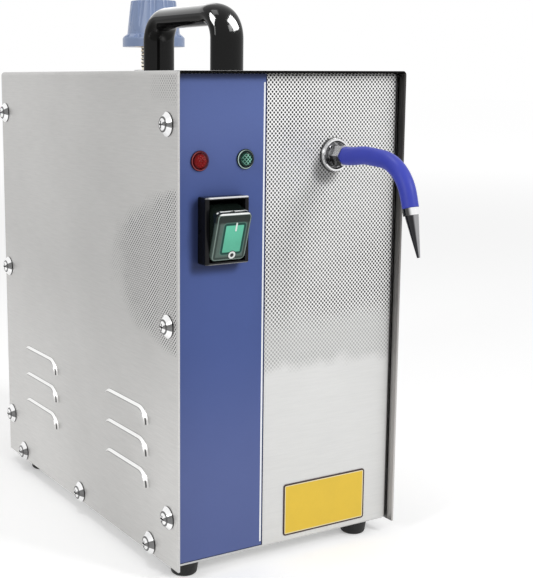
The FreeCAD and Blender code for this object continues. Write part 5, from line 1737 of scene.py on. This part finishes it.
@dataclass
class Case(Assembly):
    """The folded cover, the two end panels, the tray, the control strip, the label and the feet.

    Args:
        half_width: half the cover's width over its flat sides.
        cup_seam: how far over the sheet the joint between a cup washer and its screw is.
    """

    half_width: float = 90 * MM
    cup_seam: float = 3.2 * MM

    def dress(self) -> None:
        """Give the case its finishes."""
        self.dress_sheets()
        self.dress_strip()
        self.dress_label()
        rubber = Moulding(
            "foot_rubber", (0.012, 0.012, 0.012), 0.55, cell=600, relief=0.06 * MM, tone=0.2, gloss=0.35
        )
        self.shop.dress(rubber, "foot_front_left", "foot_front_right", "foot_rear_left", "foot_rear_right")
        self.shop.dress(SCREW_CHROME, "foot_screws")
        # Cup washers and screws: a painted reflection in a band, a painted contact shadow at the sheet, and a
        # dark joint.
        joints_and_shadow = {"sheet": self.half_width, "seam": self.cup_seam}
        cups = Metal(
            "plated_cups", (0.94, 0.94, 0.94), 0.12, (0.45, 0.45, 0.46), 0.3, 0.08, reflection_streak=0.85, **joints_and_shadow
        )
        self.shop.dress(cups, "cup_washers", "cover_screws")

    def dress_sheets(self) -> None:
        """Give the cover, the panels and the tray their finishes."""
        cover_low, cover_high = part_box("outer_cover")
        panel_low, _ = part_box("front_panel")
        plate_low, plate_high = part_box("spout_escutcheon")
        places = {"low": numbers(cover_low), "high": numbers(cover_high), "panel": panel_low.y}
        places["half"] = self.half_width
        cover = CoverSheet("cover_sheet", (0.52, 0.515, 0.505), 0.38, (500, 60, 900), 0.24, 0.14, **places)
        self.shop.dress(cover, "outer_cover")
        spout = numbers((plate_low + plate_high) / 2)
        panel = DottedSheet("front_sheet", (0.70, 0.70, 0.69), 0.50, (60, 60, 900), 0.12, 0.06, spout=spout)
        self.shop.dress(panel, "front_panel")
        rear = Sheet("rear_sheet", (0.56, 0.555, 0.545), 0.38, (60, 60, 900), 0.18, 0.10)
        self.shop.dress(rear, "rear_panel")
        self.shop.dress(INNER_STEEL, "base_tray")

    def dress_strip(self) -> None:
        """Give the control strip its paint."""
        strip_low, strip_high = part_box("control_strip")
        switch_low, switch_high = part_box("switch_housing")
        switch_half = (switch_high - switch_low) / 2
        places = {"low": numbers(strip_low), "high": numbers(strip_high)}
        housing = {"housing": numbers((switch_low + switch_high) / 2), "half": (switch_half.x, switch_half.z)}
        strip = StripPaint("strip_paint", (0.102, 0.136, 0.325), 0.36, **places, **housing)
        self.shop.dress(strip, "control_strip")

    def dress_label(self) -> None:
        """Give the label plate its blank film."""
        low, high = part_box("label_plate")
        half = (high - low) / 2
        label = LabelFilm(
            "label_film", (0.80, 0.545, 0.055), 0.34, centre=numbers((low + high) / 2), half=(half.x, half.z)
        )
        self.shop.dress(label, "label_plate")


class CarryHandle(Assembly):
    """The carrying handle and its screws."""

    def dress(self) -> None:
        """Give the handle its finishes."""
        gloss = Moulding(
            "handle_gloss", (0.005, 0.005, 0.005), 0.07, cell=300, relief=0.02 * MM, tone=0.2, gloss=0.17
        )
        self.shop.dress(gloss, "handle")
        self.shop.dress(SCREW_CHROME, "handle_screws")


class Filler(Assembly):
    """The filler neck with its washer, and the screw cap with its relief valve."""

    def dress(self) -> None:
        """Give the filler its finishes."""
        blue = Moulding("cap_moulding", (0.20, 0.265, 0.43), 0.30, cell=700, relief=0.04 * MM, tone=0.09)
        self.shop.dress(blue, "cap_knob")
        # The neck's downward faces get a painted dark reflection.
        plating = Metal("neck_plating", (0.86, 0.80, 0.66), 0.16, (0.45, 0.30, 0.12), 0.5, dark_reflection=0.95)
        self.shop.dress(plating, "filler_neck")
        self.shop.dress(BRASS, "cap_insert", "relief_poppet")
        self.shop.dress(Moulding("washer_moulding", (0.80, 0.80, 0.78), 0.35, tone=0.04), "deck_washer")
        self.shop.dress(Moulding("white_silicone", (0.74, 0.74, 0.71), 0.5, tone=0.05), "cap_gasket")
        spring = CoilSpring("relief_spring", "cap", "relief_lift", wire=0.7 * MM, turns=2.5, travel=1.4 * MM)
        spring.build(self.shop)


class Boiler(Assembly):
    """The boiler with its lagging, stand, heater and controls."""

    def dress(self) -> None:
        """Give the boiler its finishes."""
        self.shop.dress(INNER_STEEL, "boiler_shell", "boiler_top_head", "boiler_bottom_head", "boiler_stand")
        self.shop.dress(Felt("glass_felt", (0.60, 0.56, 0.46), 0.95), "boiler_jacket")
        self.shop.dress(BRASS, "heater_plug")
        sheath = Metal("heater_sheath", (0.30, 0.29, 0.28), 0.35, (0.10, 0.07, 0.05), 0.5)
        self.shop.dress(sheath, "heating_element")
        self.shop.dress(BLACK_MOULDING, "pressure_switch")
        alloy = Metal("pressed_alloy", (0.60, 0.60, 0.60), 0.35, (0.35, 0.35, 0.35), 0.3)
        self.shop.dress(alloy, "thermostat")


class SteamLine(Assembly):
    """The solenoid valve and the pipes to and from it."""

    def dress(self) -> None:
        """Give the steam line its finishes."""
        self.shop.dress(BRASS, "valve_body", "fitting_nut")
        self.shop.dress(INNER_STEEL, "valve_plunger")
        spring = CoilSpring("valve_spring", "case", "plunger_lift", wire=0.9 * MM, turns=5, travel=3 * MM)
        spring.build(self.shop)
        self.shop.dress(BLACK_MOULDING, "valve_coil")
        copper = Metal("drawn_copper", (0.72, 0.35, 0.20), 0.26, (0.30, 0.12, 0.07), 0.45, 0.1)
        self.shop.dress(copper, "steam_pipe", "outlet_pipe")


@dataclass
class Spout(Assembly):
    """The front fitting, the sleeved tube and the nozzle.

    Args:
        root_radius: the sleeve's radius at the fitting.
        end_radius: its radius at the collar.
        bore_radius: the radius of its hole.
        lip: the radius of its rounded ends.
        route: the centre line's corners, in millimetres out from the fitting's face and up from its axis.
        bends: the radius at each inner corner, in millimetres.
        bend_step: the angle between two rings of a bend, in degrees.
        facets: points round the sleeve.
    """

    root_radius: float = 6.1 * MM
    end_radius: float = 5.25 * MM
    bore_radius: float = 3.1 * MM
    lip: float = 0.5 * MM
    route: tuple[Pair, ...] = ((0, 0), (5, 0), (20, 1.6), (57, -1.4), (65.066, -28.63))
    bends: tuple[float, ...] = (60, 60, 30)
    bend_step: float = 4.0
    facets: int = 48

    def run(self, start: Vector, end: Vector, count: int) -> list[tuple[Vector, Vector]]:
        """Even points along a straight run, without its end, each with the run's direction."""
        way = (end - start).normalized()
        return [(start.lerp(end, n / count), way) for n in range(count)]

    def bend(self, first: Vector, into: Vector, out: Vector, radius: float) -> list[tuple[Vector, Vector]]:
        """Points round a bend, without its end.

        Args:
            first: where the bend starts.
            into: the direction into it.
            out: the direction out of it.
            radius: its radius.

        Returns:
            The points, each with its direction.
        """
        turn = into.angle(out)
        side = (out - into * out.dot(into)).normalized()
        hub = first + side * radius
        steps = max(4, int(math.degrees(turn) / self.bend_step))
        found = []
        for angle in (turn * n / steps for n in range(steps)):
            point = hub + (into * math.sin(angle) - side * math.cos(angle)) * radius
            found.append((point, into * math.cos(angle) + side * math.sin(angle)))
        return found

    def line(self) -> list[tuple[Vector, Vector]]:
        """The sleeve's centre line.

        Returns:
            Points along it, each with its direction.
        """
        low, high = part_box("spout_fitting")
        axis_x, axis_z, face = (low.x + high.x) / 2, (low.z + high.z) / 2, low.y
        corners = [Vector((axis_x, face - out * MM, axis_z + rise * MM)) for out, rise in self.route]
        found: list[tuple[Vector, Vector]] = []
        start = corners[0]
        for before, corner, after, bend in zip(corners, corners[1:], corners[2:], self.bends):
            into, out = (corner - before).normalized(), (after - corner).normalized()
            cut = bend * MM * math.tan(into.angle(out) / 2)
            first = corner - into * cut
            found += self.run(start, first, 3)
            found += self.bend(first, into, out, bend * MM)
            start = corner + out * cut
        found += self.run(start, corners[-1], 4)
        found.append((corners[-1], (corners[-1] - start).normalized()))
        return found

    def sleeve(self) -> bmesh.types.BMesh:
        """The insulating sleeve, which tapers towards the nozzle and has rounded ends.

        Returns:
            Its mesh.
        """
        line = self.line()
        reach = [0.0]
        for (first, _), (second, _) in zip(line, line[1:]):
            reach.append(reach[-1] + (second - first).length)
        outer, inner = [], []
        across = Vector((1, 0, 0))
        for (point, way), gone in zip(line, reach):
            radius = self.root_radius + (self.end_radius - self.root_radius) * gone / reach[-1]
            outer.append(ring_points(point, across, way.cross(across), radius, self.facets))
            inner.append(ring_points(point, across, way.cross(across), self.bore_radius, self.facets))
        rims = []
        for end, radius, inward in ((0, self.root_radius, 1), (-1, self.end_radius, -1)):
            point, way = line[end]
            rims.append(ring_points(point, across, way.cross(across), radius - self.lip, self.facets))
            outer[end] = [ring + way * self.lip * inward for ring in outer[end]]
        return loft([rims[0], *outer, rims[1], *reversed(inner)])

    def dress(self) -> None:
        """Make the sleeve and give the spout its finishes."""
        blue = Moulding(
            "sleeve_skin", (0.045, 0.060, 0.42), 0.40, cell=500, relief=0.01 * MM, tone=0.10, gloss=0.25
        )
        self.shop.piece("spout_sleeve_skin", self.sleeve(), blue, "case", "sleeve_blue", ["spout_sleeve"])
        low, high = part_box("spout_escutcheon")
        middle = numbers((low + high) / 2)
        plate = DishPlating("dish_plating", (0.86, 0.86, 0.87), 0.10, centre=middle, base=high.y)
        self.shop.dress(plate, "spout_escutcheon")
        # The hexagon's downward faces get a painted dark reflection.
        hexagon = Metal(
            "fitting_plating", (0.62, 0.62, 0.63), 0.26, (0.30, 0.30, 0.31), 0.2, 0.04, dark_reflection=0.88
        )
        self.shop.dress(hexagon, "spout_fitting")
        # The collar's left faces get a painted dark reflection.
        left = (-0.87, 0.49, 0)
        collar = Metal(
            "collar_plating", (0.90, 0.90, 0.91), 0.10, (0.5, 0.5, 0.5), 0.2, dark_reflection_way=left, dark_reflection=0.95
        )
        self.shop.dress(collar, "nozzle_collar")
        # The nozzle tip's left front faces get a painted dark reflection.
        tip_reflection = {"dark_reflection_way": (-0.93, -0.36, 0), "dark_reflection": 0.96, "turn": (0.62, 0.86)}
        tip = Metal("nozzle_plating", (0.36, 0.36, 0.37), 0.12, (0.12, 0.12, 0.12), 0.3, **tip_reflection)
        self.shop.dress(tip, "nozzle_tip")
        self.shop.dress(INNER_STEEL, "spout_tube")


@dataclass
class PilotLamps(Assembly):
    """The two pilot lamps.

    Args:
        rim_height: how far the rim stands off the strip.
        foot_round: how far the rim's foot is rounded.
        rim_round: how far its front edge is.
        dome_radius: the radius of the raised middle.
        dome_lift: how far the dome's edge stands over the rim.
        dome_room: the height that the dome leaves for that and for its facets.
        rings: rings of points from the middle out to the dome's edge.
        spokes: points round each ring.
        pebble_relief: the height of the red lens's pebbles.
        pebble_pitch: the distance from one ring of pebbles to the next.
        pebble_rays: pebbles round each ring.
        diamond_relief: the height of the green lens's diamonds.
        diamond_cells: diamonds per metre.
    """

    rim_height: float = 1.2 * MM
    foot_round: float = 0.3 * MM
    rim_round: float = 0.35 * MM
    dome_radius: float = 5.6 * MM
    dome_lift: float = 0.25 * MM
    dome_room: float = 0.60 * MM
    rings: int = 26
    spokes: int = 96
    pebble_relief: float = 0.16 * MM
    pebble_pitch: float = 1.7 * MM
    pebble_rays: int = 9
    diamond_relief: float = 0.32 * MM
    diamond_cells: float = 400

    def relief(self, facets: Facets, x: float, z: float) -> float:
        """The height of a lens's facets.

        Args:
            facets: how the lens is moulded.
            x: how far right of its middle, in metres.
            z: how far above it.

        Returns:
            The height, in metres.
        """
        if facets is Facets.PEBBLES:
            radius, turn = math.hypot(x, z), math.atan2(z, x)
            rings = math.cos(2 * math.pi * radius / self.pebble_pitch)
            return self.pebble_relief * rings * math.cos(self.pebble_rays * turn)
        heights = [abs(((x + sign * z) * self.diamond_cells) % 1 - 0.5) for sign in (1, -1)]
        return self.diamond_relief * (sum(heights) - 0.5)

    def lens(self, node: str, facets: Facets) -> bmesh.types.BMesh:
        """A lens with facets moulded in its face.

        Args:
            node: the frame's lens that it stands for.
            facets: how it is moulded.

        Returns:
            The mesh.
        """
        low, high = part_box(node)
        centre = (low + high) / 2
        back, proud, rim = high.y, high.y - low.y, (high.x - low.x) / 2
        across, up = Vector((1, 0, 0)), Vector((0, 0, 1))

        def ring(radius: float, height: float) -> list[Vector]:
            """Points round the lens's axis, at a height over the strip."""
            hub = Vector((centre.x, back - height, centre.z))
            return ring_points(hub, across, up, radius, self.spokes)

        rows = [
            ring(rim - self.foot_round, 0),
            ring(rim, self.foot_round),
            ring(rim, self.rim_height - self.rim_round),
            ring(rim - self.rim_round, self.rim_height),
            ring(self.dome_radius, self.rim_height),
        ]
        for n in range(self.rings, 0, -1):
            share = n / self.rings
            swell = (1 - share**3) ** 0.6
            height = self.rim_height + self.dome_lift + (proud - self.rim_height - self.dome_room) * swell
            flat = ring(self.dome_radius * share, height)
            raised = [self.relief(facets, point.x - centre.x, point.z - centre.z) for point in flat]
            rows.append([point - Vector((0, up_by, 0)) for point, up_by in zip(flat, raised)])
        return loft(rows, closed=False)

    def dress(self) -> None:
        """Make both lenses and dress the lamps' bodies."""
        red_low, red_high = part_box("red_lamp_lens")
        middle = numbers((red_low + red_high) / 2)
        # Both lenses get painted glints, a ring of painted shade and a painted highlight round the rim.
        looks = {"rim": (0.42, 0.10, 0.11), "facet_glint": (0.62, 0.07, 0.05), "moulding": Facets.PEBBLES}
        red = LensPlastic("red_facets", (0.17, 0.001, 0.002), 0.14, centre=middle, cells=420.0, **looks)
        red_lens = self.lens("red_lamp_lens", Facets.PEBBLES)
        self.shop.piece("red_lamp_facets", red_lens, red, "case", "red_lens", ["red_lamp_lens"])
        green_low, green_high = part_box("green_lamp_lens")
        middle, rim = numbers((green_low + green_high) / 2), (0.62, 0.78, 0.72)
        green = LensPlastic("green_facets", (0.002, 0.028, 0.019), 0.14, centre=middle, rim=rim)
        green_lens = self.lens("green_lamp_lens", Facets.DIAMONDS)
        self.shop.piece("green_lamp_facets", green_lens, green, "case", "green_lens", ["green_lamp_lens"])
        self.shop.dress(BLACK_MOULDING, "lamp_bodies")


class Mark(Enum):
    """The switch's two generic signs."""

    ON = "bar"
    OFF = "ring"


@dataclass
class RockerSwitch(Assembly):
    """The sealed rocker switch.

    Args:
        tilt: how far the face leans at rest, in degrees.
        face: how far the boot's face is from the pivot.
        block_face: how far the rocker's own face is from it.
        boot: half the boot's width and height.
        window: the middle of the bright window across and up the rocker's face.
        shown: the middle of the clear part across and up the boot's face.
        bar: the middle of the upper sign across and up the face.
        bar_half: half that sign's width and height.
        bar_corner: its corners' radius.
        ring: the middle of the lower sign.
        ring_radii: the outer and the inner radius of its ring.
        ground_radius: the radius of the dark disc behind it.
        sink: how far the signs' backs are under the boot's face.
        facets: points round a ring.
    """

    tilt: float = 17.0
    face: float = 12.5 * MM
    block_face: float = 11.1 * MM
    boot: Pair = (13 * MM, 16.5 * MM)
    window: Pair = (2.2 * MM, -1.7 * MM)
    shown: Pair = (1.2 * MM, -1.05 * MM)
    bar: Pair = (2.2 * MM, 7.0 * MM)
    bar_half: Pair = (0.55 * MM, 2.9 * MM)
    bar_corner: float = 0.3 * MM
    ring: Pair = (2.3 * MM, -12.4 * MM)
    ring_radii: Pair = (2.55 * MM, 1.35 * MM)
    ground_radius: float = 3.0 * MM
    sink: float = 0.05 * MM
    facets: int = 40

    def axes(self) -> tuple[Vector, Vector, Vector, Vector]:
        """Where the switch turns and how its face leans.

        Returns:
            The pivot, and the face's directions across, up and out.
        """
        low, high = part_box("rocker_pin")
        lean = math.radians(self.tilt)
        up = Vector((0, -math.sin(lean), math.cos(lean)))
        out = Vector((0, -math.cos(lean), -math.sin(lean)))
        return (low + high) / 2, Vector((1, 0, 0)), up, out

    def spot(self, place: Pair, height: float) -> Vector:
        """The point that is so far across and up the face, and so far out of the pivot."""
        pivot, across, up, out = self.axes()
        return pivot + across * place[0] + up * place[1] + out * height

    def sign(self, mark: Mark) -> None:
        """A white sign raised on the boot's face.

        Args:
            mark: which sign.
        """
        _, across, up, out = self.axes()
        centre = self.spot(self.bar if mark is Mark.ON else self.ring, self.face - self.sink)
        ink = Moulding("switch_ink", (0.80, 0.84, 0.81), 0.4, tone=0.05)
        if mark is Mark.ON:
            outline = rounded_box(centre, across, up, self.bar_half, self.bar_corner)
            shape = extruded(outline, (), out * 0.2 * MM)
        else:
            disc = ring_points(centre, across, up, self.ground_radius, self.facets)
            ground = extruded(disc, (), out * 0.12 * MM)
            self.shop.piece("switch_mark_ground", ground, BLACK_MOULDING, "rocker", "boot_clear")
            rings = [ring_points(centre, across, up, radius, self.facets) for radius in self.ring_radii]
            shape = extruded(*rings, out * 0.25 * MM)
        self.shop.piece(f"switch_mark_{mark.value}", shape, ink, "rocker", "boot_clear")

    def dress(self) -> None:
        """Make the signs and give the switch its finishes."""
        _, _, up, out = self.axes()
        for mark in Mark:
            self.sign(mark)
        low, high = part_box("switch_housing")
        skin = {"cell": 400, "relief": 0.02 * MM, "tone": 0.2, "gloss": 0.15}
        # The housing gets painted glints along its edges.
        gloss = GlintedMoulding(
            "switch_gloss", (0.006, 0.006, 0.007), 0.12, **skin, low=numbers(low), high=numbers(high)
        )
        self.shop.dress(gloss, "switch_housing")
        self.shop.dress(INNER_STEEL, "rocker_pin")
        centre = self.spot(self.window, self.block_face)
        rocker = RockerFace(
            "rocker_moulding", (0.018, 0.045, 0.034), 0.35, centre=numbers(centre), up=numbers(up)
        )
        self.shop.dress(rocker, "switch_rocker")
        boot = BootSkin(
            "boot_skin",
            (0.095, 0.140, 0.120),
            0.12,
            centre=numbers(self.spot((0, 0), self.face)),
            up=numbers(up),
            out=numbers(out),
            half=self.boot,
            window=numbers(self.spot(self.shown, self.face)),
        )
        self.shop.dress(boot, "rocker_boot")


class DrainCock(Assembly):
    """The drain pipe and cock at the rear."""

    def dress(self) -> None:
        """Give the drain its finishes."""
        self.shop.dress(BRASS, "drain_pipe", "drain_cock", "drain_plug")
        dipped = Moulding(
            "lever_dip", (0.40, 0.018, 0.018), 0.30, cell=350, relief=0.06 * MM, tone=0.12, coat=0.3
        )
        self.shop.dress(dipped, "drain_lever")


class RearSockets(Assembly):
    """The mains inlet, the pedal socket and the terminal block."""

    def dress(self) -> None:
        """Give the sockets their finishes."""
        self.shop.dress(BLACK_MOULDING, "power_inlet", "pedal_socket")
        self.shop.dress(BRASS, "inlet_pins")
        self.shop.dress(SCREW_CHROME, "inlet_screws")
        self.shop.dress(Moulding("cream_moulding", (0.68, 0.62, 0.46), 0.42, tone=0.1), "terminal_block")


# ---- studio ----


@dataclass(frozen=True)
class Lamp:
    """One soft rectangular lamp.

    Args:
        name: its name.
        spot: where it stands, in metres.
        aim: what it points at.
        size: its width and height.
        power: its power in watts.
        glints: the nodes that only mirror it, or none for a lamp that lights everything.
    """

    name: str
    spot: Triple
    aim: Triple
    size: Pair
    power: float
    glints: tuple[str, ...] = ()

    def hang(self) -> None:
        """Make the lamp."""
        data = bpy.data.lights.new(self.name, "AREA")
        data.shape = "RECTANGLE"
        data.size, data.size_y = self.size
        data.energy = self.power
        made = bpy.data.objects.new(self.name, data)
        made.location = self.spot
        ahead = Vector(self.aim) - Vector(self.spot)
        made.rotation_euler = ahead.to_track_quat("-Z", "Y").to_euler()
        bpy.context.scene.collection.objects.link(made)
        if self.glints:
            mirrors = bpy.data.collections.new(f"{self.name}_mirrors")
            for node in self.glints:
                mirrors.objects.link(frame["nodes"][node])
            made.light_linking.receiver_collection = mirrors
            made.visible_diffuse = False


@dataclass
class Studio:
    """A pale floor, white surroundings, soft lamps and the camera.

    Args:
        eye: the camera's place, in metres.
        yaw: how far it turns right of +Y, in degrees.
        pitch: how far it looks down, in degrees.
        lens: its focal length, in millimetres on a 36 mm sensor.
        shift: its sensor shift.
        ambient: how strongly the surroundings light the part.
        near_glow: the floor's own light by the part.
        far_glow: the floor's own light where the lamps don't reach.
        glow_span: how far from the part that light starts to change, and where it is full.
        floor_half: half the floor's width, in metres.
        lamps: the lamps.
    """

    eye: Triple = (-0.437095, -0.744713, 0.328465)
    yaw: float = 29.896
    pitch: float = 9.153
    lens: float = 71.325
    shift: Pair = (0.1411, -0.0475)
    ambient: float = 0.54
    near_glow: float = 0.30
    far_glow: float = 0.56
    glow_span: Pair = (0.5, 4.0)
    floor_half: float = 12.0
    lamps: tuple[Lamp, ...] = (
        Lamp("key_lamp", (0.9, -1.7, 1.5), (0, 0, 0.2), (0.5, 0.7), 20),
        Lamp("fill_lamp", (-1.7, -0.5, 1.0), (0, 0, 0.2), (0.35, 0.7), 8),
        Lamp("top_lamp", (-0.2, 0.1, 1.9), (0, 0, 0.3), (0.6, 0.6), 6),
        Lamp("left_window", (-0.553, -0.004, 0.965), (-0.011, -0.043, 0.368), (0.44, 0.50), 52, ("handle",)),
        Lamp("front_window", (0.535, -0.376, 0.864), (0.002, -0.049, 0.366), (0.50, 0.50), 60, ("handle",)),
        Lamp("rear_window", (-0.03, 0.70, 0.72), (-0.01, 0.004, 0.37), (0.92, 0.42), 2.1, ("handle",)),
    )

    def seen(self, graph: Graph) -> Socket:
        """Tell the rays that show the surroundings from those that light the part.

        Args:
            graph: the graph of the world or of a backdrop's material.

        Returns:
            1 for camera, glossy and transmission rays, and 0 for the rest.
        """
        path = graph.add("LightPath")
        kinds = ("Is Camera Ray", "Is Glossy Ray", "Is Transmission Ray")
        return graph.most(*(path.outputs[kind] for kind in kinds))

    def world(self) -> None:
        """White surroundings that light the part more softly than they show."""
        world = bpy.data.worlds.new("surroundings")
        bpy.context.scene.world = world
        world.use_nodes = True
        world.node_tree.nodes.clear()
        graph = Graph(world.node_tree)
        shown = graph.add("Background")
        graph.feeds(shown, Color=(1, 1, 1), Strength=1)
        lit = graph.add("Background")
        graph.feeds(lit, Color=(1, 1, 1), Strength=self.ambient)
        both = graph.add("MixShader")
        graph.feed(both.inputs[0], self.seen(graph))
        graph.feed(both.inputs[1], lit.outputs[0])
        graph.feed(both.inputs[2], shown.outputs[0])
        out = graph.add("OutputWorld")
        graph.feed(out.inputs["Surface"], both.outputs[0])

    def floor(self) -> None:
        """A wide pale floor that keeps the part's shadow."""
        shape = bmesh.new()
        bmesh.ops.create_grid(shape, x_segments=8, y_segments=8, size=self.floor_half)
        mesh = bpy.data.meshes.new("floor")
        shape.to_mesh(mesh)
        shape.free()
        floor = bpy.data.objects.new("floor", mesh)
        bpy.context.scene.collection.objects.link(floor)
        material = bpy.data.materials.new("floor_paint")
        material.use_nodes = True
        material.node_tree.nodes.clear()
        graph = Graph(material.node_tree)
        paint = graph.add("BsdfDiffuse")
        graph.feeds(paint, Color=WHITE)
        glow = graph.add("Emission")
        away = graph.vectors("LENGTH", graph.place())
        level = graph.step(away, *self.glow_span, self.near_glow, self.far_glow)
        graph.feed(glow.inputs["Strength"], graph.times(self.seen(graph), level))
        total = graph.add("AddShader")
        graph.feed(total.inputs[0], paint.outputs[0])
        graph.feed(total.inputs[1], glow.outputs[0])
        out = graph.add("OutputMaterial")
        graph.feed(out.inputs["Surface"], total.outputs[0])
        mesh.materials.append(material)

    def camera(self) -> None:
        """The camera, looking past the front left edge."""
        yaw, pitch = math.radians(self.yaw), math.radians(self.pitch)
        level = math.cos(pitch)
        ahead = Vector((math.sin(yaw) * level, math.cos(yaw) * level, -math.sin(pitch)))
        data = bpy.data.cameras.new("camera")
        data.lens = self.lens
        data.sensor_width = 36
        data.shift_x, data.shift_y = self.shift
        data.clip_start = 0.05
        made = bpy.data.objects.new("camera", data)
        made.location = self.eye
        made.rotation_euler = ahead.to_track_quat("-Z", "Y").to_euler()
        bpy.context.scene.collection.objects.link(made)
        bpy.context.scene.camera = made

    def build(self) -> None:
        """Set the whole studio up."""
        bpy.context.scene.view_settings.view_transform = "Standard"
        self.world()
        self.floor()
        self.camera()
        for lamp in self.lamps:
            lamp.hang()


ASSEMBLIES = (
    Case, CarryHandle, Filler, Boiler, SteamLine, Spout, PilotLamps, RockerSwitch, DrainCock, RearSockets
)


def main() -> None:
    """Build every sub-assembly in order, then the studio."""
    logging.basicConfig(level=logging.INFO, format="%(name)s: %(message)s")
    shop = Workshop(frame["nodes"])
    for assembly in ASSEMBLIES:
        log.info("sub-assembly %s", assembly.__name__)
        assembly(shop).dress()
    bare = sorted(set(shop.nodes) - shop.dressed)
    if bare:
        raise ValueError(f"no finish for {bare}")
    Studio().build()


if __name__ == "__main__":
    main()
